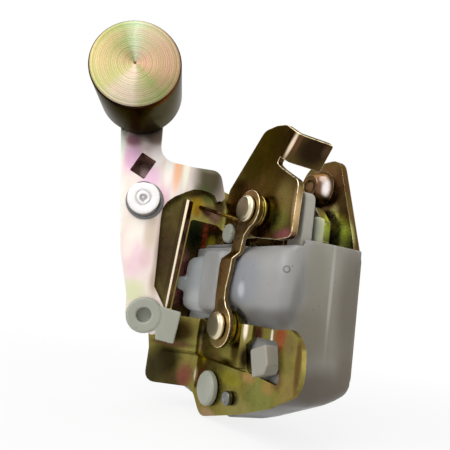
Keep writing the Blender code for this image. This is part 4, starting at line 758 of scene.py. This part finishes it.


# ---- stains and painted light and shade: centre and reach in millimetres, colour, strength and a streak's turn ----

# Shut plate: olive low on the ear, rosy round the cone, with a painted highlight on the cone and painted shade in
# its threaded hole; the wing runs from dark green to gold
PLATE_STAINS_AND_PAINTED_LIGHT = (
    (-2.5, -2, 19, 2.4, 9, 9, "#dfe68c", 0.95), (-2.5, 2, 24.5, 2.4, 4, 8, "#e0d68c", 0.95),
    (-3.5, -4.6, 27, 6, 6, 6, "#6a5434", 0.7), (-3.5, 1, 38.5, 6, 5, 8, "#5a3f28", 0.85),
    (-3.5, 13, 41.5, 6, 4, 7, "#8a6a54", 0.8), (-3.5, 7, 43.5, 6, 7, 4, "#6b4d30", 0.8),
    # The two palest marks on the cone are a painted highlight, and the near-black one is painted shade in its hole
    (-6, 7, 37.5, 4.5, 5.5, 6, "#7d5c48", 0.9), (-4.9, 4.9, 36.8, 2.3, 2, 4.6, "#fff4f0", 0.98),
    (-6, 5.4, 40, 2.6, 1.4, 2.4, "#e8d0c0", 0.8), (-8, 8.6, 37, 1.6, 3.2, 3.4, "#1b130c", 0.95),
    (-30, 52.8, 18, 4.4, 2.2, 12, "#25301a", 0.95), (-25.2, 52.8, 17, 1.8, 2.2, 9, "#d0603c", 0.9),
    (-21.5, 52.8, 14.5, 3.6, 2.2, 5.4, "#f4e242", 0.97), (-17.5, 52.8, 16, 2.4, 2.2, 5, "#ffd58a", 0.97),
    (-22, 52.8, 23, 5, 2.2, 4, "#8a4a34", 0.8), (-34, 52.8, 0, 5, 2.2, 14, "#c0787c", 0.9),
)
# Bracket: brown on the lever leg, partly film and partly painted shade where the lever shadows it; reddish at the
# bends; painted shade along the crease and on the pad's lower bend and ramp; and last the painted highlights on
# the bends
BRACKET_STAINS_AND_PAINTED_LIGHT = (
    (-47, 41, 8, 11, 10, 36, "#402f22", 0.98), (-43.5, 39.4, 24, 6, 6, 9, "#46361f", 0.95),
    (-38.4, 38.8, 30.5, 6, 6, 3, "#4a3a22", 0.9), (-36.8, 40.4, 26.6, 4.2, 4.4, 5.4, "#94781e", 0.97),
    (-36.3, 40.2, 25, 1.8, 2, 3.6, "#75521a", 0.7), (-32.6, 38.6, 30.6, 4, 4, 4, "#5e602e", 0.9),
    (-32.6, 38.6, 25.4, 3.6, 4, 3.4, "#54382a", 0.95), (-29, 36.6, 27, 3, 4, 7, "#3a2a18", 0.9),
    (-30.2, 37.4, 23, 3, 4, 3, "#7a5a4c", 0.8), (-36, 40.5, -20, 8, 8, 7, "#33250f", 0.97),
    (-39.5, 41.8, -31, 8, 8, 12, "#29220f", 0.98), (-45, 44.2, -36, 8, 8, 12, "#3a3420", 0.97),
    (-47.5, 45.4, -33, 3, 3, 12, "#6f684c", 0.7), (-36.5, 40.4, -38, 6, 6, 6, "#453a20", 0.95),
    # The second mark below is painted shade along the crease
    (-33, 38.6, -35.5, 4, 4, 6, "#7d4a3c", 0.95), (-38, 41.2, -24.6, 12, 12, 1.6, "#5a3f2c", 0.8),
    (-31.4, 30, -22, 3, 3.4, 9, "#8a7c50", 0.7), (-31.6, 21, -25.6, 3, 6.5, 2, "#7a6638", 0.9, -6),
    # The near-black marks below are painted shade on the pad's lower bend and on its ramp
    (-30.8, 12, -26.4, 3, 9, 2.2, "#1c1308", 0.97), (-31.9, 8, -22, 2, 4, 6, "#3a2d16", 0.9),
    (-30.4, 4, -23.4, 3, 2.6, 5.4, "#1c1308", 0.97), (-31.9, 7.2, -15.5, 1.5, 1.8, 5, "#9c8c60", 0.8),
    (-29.5, -0.6, -16, 3, 3, 4.5, "#6b3a38", 0.9), (-29.5, -11.6, -15.3, 3, 4.6, 5.4, "#994a30", 0.85),
    (-29.5, -16, -17, 3, 4, 5, "#7a6a40", 0.8), (-29.5, 22, -20.5, 3, 9, 5, "#716630", 0.8),
    (-29.5, 30, -27, 3, 4, 5, "#85744a", 0.8), (-29.5, 13, -31.5, 3, 10, 3.4, "#8f8832", 0.9),
    (-29.5, 2, -29.4, 3, 5, 2, "#b08858", 0.85), (-29.5, -4, -34, 3, 11, 7, "#7c8448", 0.6),
    (-29.5, 8, -39, 3, 13, 5, "#8f8752", 0.85), (-29.5, -12, -27, 3, 4, 4, "#6e5236", 0.85),
    (-29.5, 24, -45.5, 3, 9, 3, "#a88a6c", 0.85), (-29.5, 31, -37, 3, 3, 9, "#a9836a", 0.85),
    (-29.5, -18, -30, 3, 4, 9, "#8f7a48", 0.8), (-29.5, -20.6, -22, 3, 1.8, 12, "#5e3f26", 0.8),
    # The last five marks are painted highlights on the bends
    (-29.5, -8, -30, 3, 4, 3, "#a8804c", 0.6), (-31.6, 32.6, -22, 3, 1.7, 9, "#fff4d6", 0.98),
    (-30.6, 31.4, -27.6, 3, 2.7, 3.2, "#f8e440", 0.98), (-29.8, 35.8, -34.5, 1.5, 1.5, 3.8, "#fff0dc", 0.97),
    (-31, 4.6, -14.8, 2, 0.8, 4.6, "#fff4dc", 0.98), (-29.5, -7.4, -15.5, 3, 0.8, 3.6, "#fff6e8", 0.97),
)
# Weighted lever: pink drifting to ivory, greenish at both ends; a painted shadow under the weight, painted shade
# along its right edge by the bracket and on the arm past its bend, that arm's top edge painted lighter, and a
# painted highlight on the bend
LEVER_STAINS_AND_PAINTED_LIGHT = (
    (-63.4, 44.3, 40, 5, 5, 8, "#e4b4d2", 0.9), (-56.5, 41.2, 33.5, 5, 5, 8, "#ecc4dc", 0.9),
    (-55.3, 40.4, 42, 3.6, 4, 6, "#fbf3ee", 0.9), (-64, 44.6, 46.5, 4.5, 4.5, 3.6, "#b07888", 0.9),
    # The two marks below are the painted shadow under the weight
    (-60, 42.8, 51.5, 9.5, 9.5, 5.6, "#50463a", 0.97), (-57, 41.4, 48, 5, 5, 3.6, "#8a7464", 0.8),
    (-57.5, 41.6, 12, 4.4, 6, 13, "#faf3e6", 0.8), (-57.6, 41.6, 24, 5, 5, 5, "#e9d9c4", 0.7),
    (-57.5, 41.6, 3.5, 6, 5, 10, "#f0cdd6", 0.75), (-60, 42.8, 9, 3, 4, 9, "#fbeee2", 0.7),
    (-56.5, 41, -8, 7, 6, 6, "#dcdfb4", 0.9), (-56, 40.8, -17, 6, 5, 5, "#cfd0ac", 0.7),
    (-68, 46.4, 40, 2.6, 4, 22, "#e9efe2", 0.9), (-65.2, 45.2, 14, 2.8, 4, 20, "#e9f0e4", 0.9),
    # The last mark below and the first on the next line are painted shade along the lever's right edge by the
    # bracket
    (-62.2, 43.8, -10, 3, 4, 16, "#e2ecd8", 0.9), (-50, 38.2, 12, 2.8, 3.4, 20, "#9c8474", 0.85),
    (-49.6, 38, -3, 3.4, 3.6, 8, "#b5a48e", 0.9), (-51.6, 38.8, 27, 2.6, 3, 7, "#f0b8d0", 0.7),
    (-51, 38.6, 39, 2, 9, 12, "#fdf6ec", 0.85), (-47.9, 37, 39, 2.1, 9, 13, "#f4bd94", 0.97),
    # The first mark below is painted shade there too
    (-53.6, 39.8, 13, 3.6, 4, 10, "#d2c0ac", 0.8), (-54, 40, 4, 3.6, 4, 5, "#e4c4c4", 0.7),
    # The first mark below is painted shade on the arm bent back past its bend, the third paints its top edge
    # lighter, and the last is a painted highlight on the bend
    (-36, 31.5, 37, 9.2, 14, 16, "#5c563f", 0.99), (-38, 32.5, 32, 5, 8, 3.6, "#59603a", 0.8),
    (-37, 32, 40.5, 7, 9, 2.4, "#8d8670", 0.8), (-44.9, 35.6, 39, 1.5, 9, 13, "#fffbe4", 0.99),
)
# Tongue in the lever's square hole: pale at its low corner, dark at its high one
TONGUE_STAINS = (
    (-57.9, 43.2, 34.8, 2.6, 3, 2.6, "#b59a96", 0.8), (-61, 44.2, 39, 2.6, 3, 3, "#2e1f1a", 0.8),
)
# Hook lever: dark above and on its tab, olive below, a rosy lower edge; the tab's dark is partly film and partly
# painted shade where it faces down, and a painted highlight runs along its bend
HOOK_STAINS_AND_PAINTED_LIGHT = (
    (-28.7, 10, 46, 15, 15, 15, "#3d3114", 0.9), (-28.7, 17, 40, 11, 11, 11, "#342c16", 0.85),
    (-28.7, 3, 33, 4, 7, 8, "#52441f", 0.85), (-28.7, -4, 26, 4, 7, 9, "#857744", 0.9),
    (-28.7, 18, 31, 4, 5, 6, "#664730", 0.85), (-28.7, 4, 22.5, 4, 5, 6, "#736f2e", 0.85),
    (-28.7, -3, 20, 4, 6.5, 5.5, "#7a803c", 0.65), (-28.7, 7, 17.6, 4, 6, 3, "#8a6c3a", 0.8),
    (-28.7, 3, 18.6, 4, 2, 2.4, "#3c2d12", 0.8), (-28.7, -6, 15, 4, 6, 2.8, "#94595a", 0.85),
    # The last mark below, on the tab, is partly film and partly painted shade
    (-28.7, -10, 23, 4, 1.6, 9, "#a78d64", 0.8), (-20.5, -6, 43.6, 10.5, 9, 10, "#281b10", 0.98),
    # The near-white streak below is a painted highlight along the tab's bend, and the streaks after it shade it
    # off
    (-15.5, -5.5, 45, 2.6, 4, 3, "#5a4430", 0.6), (-28.1, -4.2, 44.4, 0.7, 7.4, 1.2, "#f4dcc0", 0.99, -49),
    (-26.8, -5.4, 44.8, 0.9, 7, 2, "#6a4630", 0.8, -49), (-28.7, -0.4, 45.8, 3, 6, 2, "#4c3a20", 0.8, -49),
)
# Strap: lighter in its middle, with painted shade on its joggles
STRAP_STAINS_AND_PAINTED_SHADE = (
    (-33.4, 9, 20, 4, 5, 5, "#755c3e", 0.8), (-33.4, 10.8, 12.6, 4, 3, 3.4, "#9b855e", 0.8),
    (-34.6, 13.5, 8.2, 4, 4, 2.2, "#342616", 0.85), (-36, 15.5, 1, 4, 4, 9, "#886d45", 0.8),
    (-36, 13, -8.5, 4, 4, 3, "#4c3c28", 0.7), (-36, 15.5, -18, 4, 5, 8, "#948352", 0.8),
)
# Pawl: its tail is yellow-green
PAWL_STAINS = (
    (-7, 0, 27, 6, 7, 12, "#a9b45a", 0.97), (-7, 3, 29, 6, 3, 6, "#d9dfa0", 0.7),
)
# Springs: brown where the long leg shows, with a small painted highlight on it
WIRE_STAINS_AND_PAINTED_HIGHLIGHT = (
    (-35, 30, 26, 6, 12, 6, "#4a2f24", 0.95), (-33, 27, 25.6, 3, 2.4, 3, "#d8b8a0", 0.8),
)
# Housing: bluish dome with a painted highlight; painted shade on the dome's lower part, down the side and
# underneath, the side lighter at its top with a painted highlight along its crease; warm side; yellow-green on the
# post
HOUSING_STAINS_AND_PAINTED_LIGHT = (
    (-9, -12.5, -6, 26, 7, 36, "#7f7868", 0.9), (-17, -12.5, 8, 9, 4, 12, "#938f80", 0.8),
    (-14.2, -5.8, 21, 3.4, 3, 9, "#f0f6b8", 0.98), (-34, 6, 0, 6, 14, 13, "#8b8e95", 0.85),
    # The first mark below is a painted highlight on the dome, the second painted shade on its lower part
    (-34.5, 6, -3, 4, 3, 3.6, "#c0c4cc", 0.8), (-31, -3, -11, 8, 14, 5, "#6e6e6d", 0.85),
    (-24, -13, 2, 2.2, 5, 12, "#7d7d79", 0.6), (-30, 42, 0, 18, 18, 18, "#b0b8bb", 0.8),
    (-33, 40, -9, 8, 10, 7, "#c8cccc", 0.85), (-19, -12.5, 5, 6, 4, 12, "#807c6e", 0.85),
    # The first mark below is a painted highlight along the side's crease, the second painted shade down its right
    # column
    (-13.3, -12.5, 0, 1, 3, 24, "#b2aea6", 0.7), (-5, -12.5, -4, 7.6, 4, 26, "#61594a", 0.9),
    # From here on mostly painted shade, on the lower side, underneath and on the dome's lower right
    (-20, -12.5, -14, 10, 6, 12, "#736c5c", 0.85), (-14, -12, -30, 20, 8, 10, "#574c3c", 0.92),
    (-24, -8, -38, 14, 14, 8, "#453c32", 0.95), (-4, -12.5, -26, 6, 6, 12, "#5d5343", 0.85),
    (-20, 12, -44, 18, 18, 8, "#5e5950", 0.9), (-3, -12.5, 8, 3, 4, 5, "#5e5950", 0.6),
    (-18, -4, 20, 8, 9, 8, "#7d7e7b", 0.8), (-26.8, -12.8, -4, 2.8, 4, 11, "#6e6d69", 0.7),
    (-28.5, -11, -10, 6, 8, 5, "#63615d", 0.65), (-20, -6, -41, 22, 14, 8, "#4c4437", 0.9),
)
# Slider: warm at the lug and at the blade
SLIDER_STAINS = (
    (-30, -6.6, -22.8, 9, 9, 9, "#969286", 0.9), (-24, -6, 24, 9, 8, 14, "#a8a498", 0.9),
)

# Film hues by the drift of the film, from thin to thick
BRONZE_TONES = ((0.25, "#38290f"), (0.42, "#5c4426"), (0.55, "#6f5a2e"), (0.66, "#6a6a35"), (0.8, "#7d4a3c"))
OILED_TONES = ((0.25, "#2f2d2a"), (0.5, "#4c4a46"), (0.78, "#6a655c"))
BRACKET_TONES = ((0.25, "#5c5322"), (0.42, "#7f763a"), (0.55, "#8f8244"), (0.68, "#8a8f4a"),
                 (0.82, "#a06a48"))
LEVER_TONES = ((0.3, "#efe2d6"), (0.45, "#f3e4dc"), (0.6, "#efd6dc"), (0.75, "#e9e6cc"))
TONGUE_TONES = ((0.3, "#3a2a24"), (0.5, "#5e463e"), (0.7, "#8a7068"))
HOOK_TONES = ((0.25, "#352713"), (0.42, "#4c3a1f"), (0.58, "#5f4e2b"), (0.75, "#686835"))
STRAP_TONES = ((0.25, "#695334"), (0.45, "#836c48"), (0.6, "#9b8359"), (0.8, "#97765c"))
WIRE_TONES = ((0.3, "#3a2218"), (0.45, "#6e4a30"), (0.55, "#a8a048"), (0.7, "#b0602c"))


# ---- operators ----


class LOCK_OT_pressed_parts(bpy.types.Operator):
    """Pressed sheet: shut plate, lever bracket, weighted lever, hook lever, strap, fork and pawl"""

    bl_idname = "lock.pressed_parts"
    bl_label = "Pressed Parts"

    def execute(self, context):
        colours, sizes = context.scene.lock_colours, context.scene.lock_sizes
        # The edges' pale cream tones are partly the thin film of a broken edge and partly a painted highlight
        bronze_edge_highlight = sheared_edge("sheared_bronze_edge", "#8a6c40", "#e0c898", "#fff4dc")
        yellow_edge_highlight = sheared_edge("sheared_yellow_edge", "#6b5a30", "#c9b582", "#fff6e0")
        pale_edge_highlight = sheared_edge("sheared_pale_edge", "#6d6a50", "#a8a488", "#e6e6d2")
        dark_edge = sheared_edge("sheared_oiled_edge", "#55514a", "#7c766b", "#a49d90")

        plate = chromated_sheet(
            "bronze_chromated_plate", colours.bronze_chromate, BRONZE_TONES, PLATE_STAINS_AND_PAINTED_LIGHT, roughness=0.26)
        pressed("plate_pressing", "shut_plate", plate, bronze_edge_highlight)
        bracket = chromated_sheet(
            "yellow_chromated_bracket", colours.yellow_chromate, BRACKET_TONES, BRACKET_STAINS_AND_PAINTED_LIGHT, roughness=0.28)
        # The flange ramp's faces get a painted highlight along the crest
        pressed("bracket_pressing", "lever_bracket", bracket, yellow_edge_highlight, sizes.window_edge,
                (FLANGE_OUT, painted_bend_highlight()))

        # The torn metal of the tongue is on the lever's lower edge too
        lever = chromated_sheet(
            "pale_chromated_lever", colours.pale_chromate, LEVER_TONES, LEVER_STAINS_AND_PAINTED_LIGHT, roughness=0.34, cloud=16.0,
            cloud_share=0.4, dark=0.07, marks=0.0)
        tongue = chromated_sheet(
            "torn_tongue", linear("#5a443c"), TONGUE_TONES, TONGUE_STAINS, roughness=0.34, cloud=3.0,
            cloud_share=0.6)
        made = pressed("lever_pressing", "weight_lever", lever, pale_edge_highlight, bend=((0.0, 0.0, -1.0), tongue))
        half_sheared_tongue(made.data, 2)

        hook = chromated_sheet(
            "bronze_chromated_hook", colours.bronze_chromate, HOOK_TONES, HOOK_STAINS_AND_PAINTED_LIGHT, roughness=0.27, marks=0.08)
        pressed("hook_pressing", "hook_lever", hook, bronze_edge_highlight, sizes.narrow_edge, full=True)
        strap = chromated_sheet(
            "bronze_chromated_strap", linear("#85704a"), STRAP_TONES, STRAP_STAINS_AND_PAINTED_SHADE, roughness=0.27, marks=0.04)
        pressed("strap_pressing", "bridge_strap", strap, bronze_edge_highlight, sizes.narrow_edge, full=True)
        fork = chromated_sheet("oiled_steel", colours.oiled_steel, OILED_TONES, (), roughness=0.36)
        pressed("fork_blanking", "latch_fork", fork, dark_edge)
        pawl = chromated_sheet("yellow_chromated_pawl", colours.oiled_steel, OILED_TONES, PAWL_STAINS)
        pressed("pawl_blanking", "pawl", pawl, dark_edge)
        return {'FINISHED'}


class LOCK_OT_weight(bpy.types.Operator):
    """Turned counterweight with tool rings, a centre dimple and its riveted spigot"""

    bl_idname = "lock.weight"
    bl_label = "Counterweight"

    def execute(self, context):
        profile = (
            (0, 3.4), (4.6, 3.4), (5.3, 4.2), (5.3, 5), (3.7, 5), (3.7, 8.3), (14, 8.3), (14.95, 9.3),
            (14.95, 33.9), (14.3, 34.7), (0.36, 34.7), (0.18, 34.35), (0, 34.3))
        turned("weight_turning", "counterweight", profile, WEIGHT_CENTRE, on_leg, turned_weight())
        return {'FINISHED'}


class LOCK_OT_rivets_and_pins(bpy.types.Operator):
    """Turned steel: the lever's rivet, washer and spacer, the two pins, their sleeves and the stop rivet"""

    bl_idname = "lock.rivets_and_pins"
    bl_label = "Rivets and Pins"

    def execute(self, context):
        colours = context.scene.lock_colours
        bright = turned_metal("bright_zinc_plate", colours.bright_zinc, linear("#e6e2e0"), "#8f8c8b",
                              pitch=0.4, stamped=0.6)
        # The bronze pins' pale cream rim is a painted highlight on the heads' turned sides
        bronze = turned_metal("bronze_chromated_pin", linear("#857b62"), linear("#6b6048"), "#e2d7b8",
                              pitch=0.5, stamped=0.2)
        gold = turned_metal("yellow_chromated_sleeve", linear("#c8c04a"), linear("#b0602c"), "#c2b03c",
                            pitch=0.45, roughness=0.22)
        grey = turned_metal("clear_zinc_rivet", linear("#8a8c8c"), linear("#62625f"), "#5d5a56",
                            pitch=0.4, stamped=0.8)
        rivet = (
            (0, -3.4), (3.8, -3.4), (4.6, -2.6), (4.6, -1.8), (3, -1.8), (3, 9.6), (5.9, 9.6), (5.9, 14),
            (5.4, 14.5), (3.1, 14.5), (2.8, 14.15), (2.35, 14.15), (2.1, 14.5), (1.5, 14.5), (1.2, 14.05),
            (0.5, 14.05), (0, 14.15))
        turned("rivet_turning", "lever_rivet", rivet, LEVER_PIVOT, on_leg, bright)
        turned("washer_blanking", "pivot_washer", sleeve(6.8, 8.3, 9.3), LEVER_PIVOT, on_leg, grey, True)
        turned("spacer_turning", "lever_spacer", sleeve(6.2, 0.3, 5.0), LEVER_PIVOT, on_leg, bronze, True)
        for name, centre, shoulder, head in (
                ("upper_pin", HOOK_PIVOT, 31.6, 33.7), ("lower_pin", FORK_PIVOT, 34.2, 36.3)):
            pin = (
                (0, 0), (2.2, 0), (2.2, 2.8), (3, 2.8), (3, shoulder), (2.2, shoulder), (2.2, head),
                (4.4, head), (4.4, head + 0.9), (4, head + 1.1), (3.9, head + 1.8), (3.4, head + 2.2),
                (0, head + 2.2))
            turned(name + "_turning", name, pin, centre, on_face, bronze)
        for name, centre, size, finish in (
                ("spring_bush", HOOK_PIVOT, (4.0, 29.0, 31.6), gold),
                ("pin_spacer", HOOK_PIVOT, (4.3, 9.2, 24.4), grey),
                ("pin_collar", FORK_PIVOT, (5.2, 32.3, 34.2), gold)):
            turned(name + "_turning", name, sleeve(*size), centre, on_face, finish, True)
        stop = (
            (0, 24), (2.4, 24), (2.4, 25.2), (1.6, 25.2), (1.6, 29.8), (2.25, 29.8), (2.25, 31.2),
            (1.95, 31.5), (1.3, 31.5), (1.1, 31.3), (0, 31.3))
        turned("stop_turning", "stop_rivet", stop, STOP_CENTRE, on_face, grey)
        return {'FINISHED'}


class LOCK_OT_springs(bpy.types.Operator):
    """Three torsion springs of drawn wire, on the hook lever, the fork and the pawl"""

    bl_idname = "lock.springs"
    bl_label = "Springs"

    def execute(self, context):
        wire = chromated_sheet("chromated_spring_wire", linear("#8a7038"), WIRE_TONES, WIRE_STAINS_AND_PAINTED_HIGHLIGHT, roughness=0.2,
                               cloud=5.0, cloud_share=0.7)
        leg_end = on_leg(np.array(6.6), np.array(26.6), np.array(0.8)) / MM
        anchor = (leg_end[1], leg_end[2], -leg_end[0])
        y, z = HOOK_PIVOT
        wound("hook_spring_coil", "hook_spring", HOOK_PIVOT, 4.8, 29.5, 31.1, 1, anchor,
              (y + 4.3, z - 9.8, 31.1), wire)
        wound("pawl_spring_coil", "pawl_spring", HOOK_PIVOT, 5.1, 10.3, 14.3, 2, (y + 14.0, z + 4.0, 10.3),
              (y + 5.0, z - 12.0, 14.3), wire)
        y, z = FORK_PIVOT
        wound("fork_spring_coil", "fork_spring", FORK_PIVOT, 6.6, 11.3, 15.3, 2, (y + 17.0, z - 14.0, 11.3),
              (y - 2.0, z - 16.0, 15.3), wire)
        return {'FINISHED'}


class LOCK_OT_mouldings(bpy.types.Operator):
    """Nylon and rubber mouldings: housing, slider, rod clip, stops and the striker's buffer"""

    bl_idname = "lock.mouldings"
    bl_label = "Mouldings"

    def execute(self, context):
        colours, sizes = context.scene.lock_colours, context.scene.lock_sizes
        housing = moulded_nylon("natural_nylon_housing", colours.nylon, HOUSING_STAINS_AND_PAINTED_LIGHT, (EJECTOR_MARK,))
        body = moulded("housing_moulding", "latch_housing", housing, sizes.mould_radius,
                       (HOUSING_ROUNDS, everywhere), (DOME_ROUNDS, dome_only))
        bulged_dome(body.data)
        small = moulded_nylon("natural_nylon_parts", linear("#a8aa9c"))
        blade = moulded_nylon("natural_nylon_slider", linear("#a39e92"), SLIDER_STAINS)
        for name, node, nylon in (
                ("slider_moulding", "lock_slider", blade), ("clip_moulding", "rod_clip", small),
                ("hook_rest_moulding", "hook_rest", small)):
            moulded(name, node, nylon, sizes.small_mould_radius, (SMALL_ROUNDS, everywhere))
        bump = (
            (0, 23.6), (2, 23.6), (3.5, 24.6), (3.5, 25.2), (2.6, 25.2), (2.6, 29.8), (5.7, 29.8), (5.7, 31.4),
            (4.9, 32.1), (0, 32.1))
        turned("bump_stop_moulding", "bump_stop", bump, BUMP_CENTRE, on_face, small)
        moulded("buffer_moulding", "striker_buffer", moulded_rubber(), sizes.small_mould_radius,
                (SMALL_ROUNDS, everywhere))
        return {'FINISHED'}


class LOCK_OT_stage(bpy.types.Operator):
    """Pale floor, white surroundings, soft studio lamps and the camera"""

    bl_idname = "lock.stage"
    bl_label = "Studio and Camera"

    def execute(self, context):
        scene = context.scene
        backdrop = tuple(scene.lock_colours.backdrop)
        scene.view_settings.view_transform = 'Standard'

        # Floor: plain and pale, its white kept for the camera and for reflections, with the lock's shadow on it
        level = CAD_BOX[0].z - scene.lock_sizes.floor_drop
        mesh = bpy.data.meshes.new("studio_floor")
        corners = [(x * FLOOR_REACH, y * FLOOR_REACH, level) for x, y in ((-1, -1), (1, -1), (1, 1), (-1, 1))]
        mesh.from_pydata(corners, [], [(0, 1, 2, 3)])
        floor = bpy.data.objects.new("studio_floor", mesh)
        scene.collection.objects.link(floor)
        paper = bpy.data.materials.new("studio_paper")
        mesh.materials.append(paper)
        tree = bare_tree(paper)
        whiteness = ranged(tree, length(tree, own_place(tree)), *PAPER_REACH, *PAPER_WHITE, 'SMOOTHSTEP')
        plain = add(tree, 'BsdfDiffuse', inputs={"Color": linear("#f0f0f0")}).outputs["BSDF"]
        white = add(tree, 'Emission', inputs={"Color": backdrop}).outputs["Emission"]
        share = maths(tree, 'MULTIPLY', seen_straight(tree), whiteness)
        both = add(tree, 'MixShader', inputs={0: share, 1: plain, 2: white})
        add(tree, 'OutputMaterial', inputs={"Surface": both.outputs["Shader"]})

        # Surroundings: white to the camera and in reflections, a soft grey as light
        scene.world = bpy.data.worlds.new("studio")
        tree = bare_tree(scene.world)
        dim = add(tree, 'Background', inputs={"Color": linear("#ffffff"), "Strength": WORLD_LIGHT})
        white = add(tree, 'Background', inputs={"Color": backdrop})
        both = add(tree, 'MixShader', inputs={
            0: seen_straight(tree), 1: dim.outputs["Background"], 2: white.outputs["Background"]})
        add(tree, 'OutputWorld', inputs={"Surface": both.outputs["Shader"]})

        # Lamps: a broad one above and left of the camera, a weaker one at the right, one from above
        middle = (CAD_BOX[0] + CAD_BOX[1]) / 2
        for name, place, size, power in LAMPS:
            light = bpy.data.lights.new(name, 'AREA')
            light.shape = 'DISK'
            light.size = size
            light.energy = power
            lamp = bpy.data.objects.new(name, light)
            lamp.location = place
            lamp.rotation_euler = (middle - Vector(place)).to_track_quat('-Z', 'Y').to_euler()
            scene.collection.objects.link(lamp)

        # Camera: turned so that the lock's level lines run as in the photograph
        view = bpy.data.cameras.new("camera")
        view.lens = CAMERA_LENS
        view.sensor_width = 36.0
        view.clip_start = 0.01
        camera = bpy.data.objects.new("camera", view)
        near = Vector(LEVEL_NEAR).normalized()
        left = Vector(LEVEL_LEFT).normalized()
        up = left.cross(near).normalized()
        turn = Matrix((-left, up.cross(-left), up))
        camera.matrix_world = Matrix.Translation(CAMERA_PLACE) @ turn.to_4x4()
        scene.collection.objects.link(camera)
        scene.camera = camera
        return {'FINISHED'}


STEPS = (
    LOCK_OT_pressed_parts, LOCK_OT_weight, LOCK_OT_rivets_and_pins, LOCK_OT_springs, LOCK_OT_mouldings,
    LOCK_OT_stage,
)


class LOCK_PT_looks(bpy.types.Panel):
    """The lock's sizes, colours and steps in the 3D view's sidebar"""

    bl_label = "Door Lock"
    bl_idname = "LOCK_PT_looks"
    bl_space_type = 'VIEW_3D'
    bl_region_type = 'UI'
    bl_category = "Door Lock"

    def draw(self, context):
        layout = self.layout
        for group in (context.scene.lock_sizes, context.scene.lock_colours):
            column = layout.column(align=True)
            for name in group.__annotations__:
                column.prop(group, name)
        column = layout.column(align=True)
        for step in STEPS:
            column.operator(step.bl_idname)


CLASSES = (LockSizes, LockColours, *STEPS, LOCK_PT_looks)


def register():
    """Add the classes and the scene's two groups of settings."""
    for each in CLASSES:
        bpy.utils.register_class(each)
    bpy.types.Scene.lock_sizes = PointerProperty(type=LockSizes)
    bpy.types.Scene.lock_colours = PointerProperty(type=LockColours)


def unregister():
    """Take the settings and the classes away again."""
    del bpy.types.Scene.lock_colours
    del bpy.types.Scene.lock_sizes
    for each in reversed(CLASSES):
        bpy.utils.unregister_class(each)


def main():
    """Run every step in order."""
    register()
    bpy.ops.lock.pressed_parts()
    bpy.ops.lock.weight()
    bpy.ops.lock.rivets_and_pins()
    bpy.ops.lock.springs()
    bpy.ops.lock.mouldings()
    bpy.ops.lock.stage()


if __name__ == "__main__":
    main()
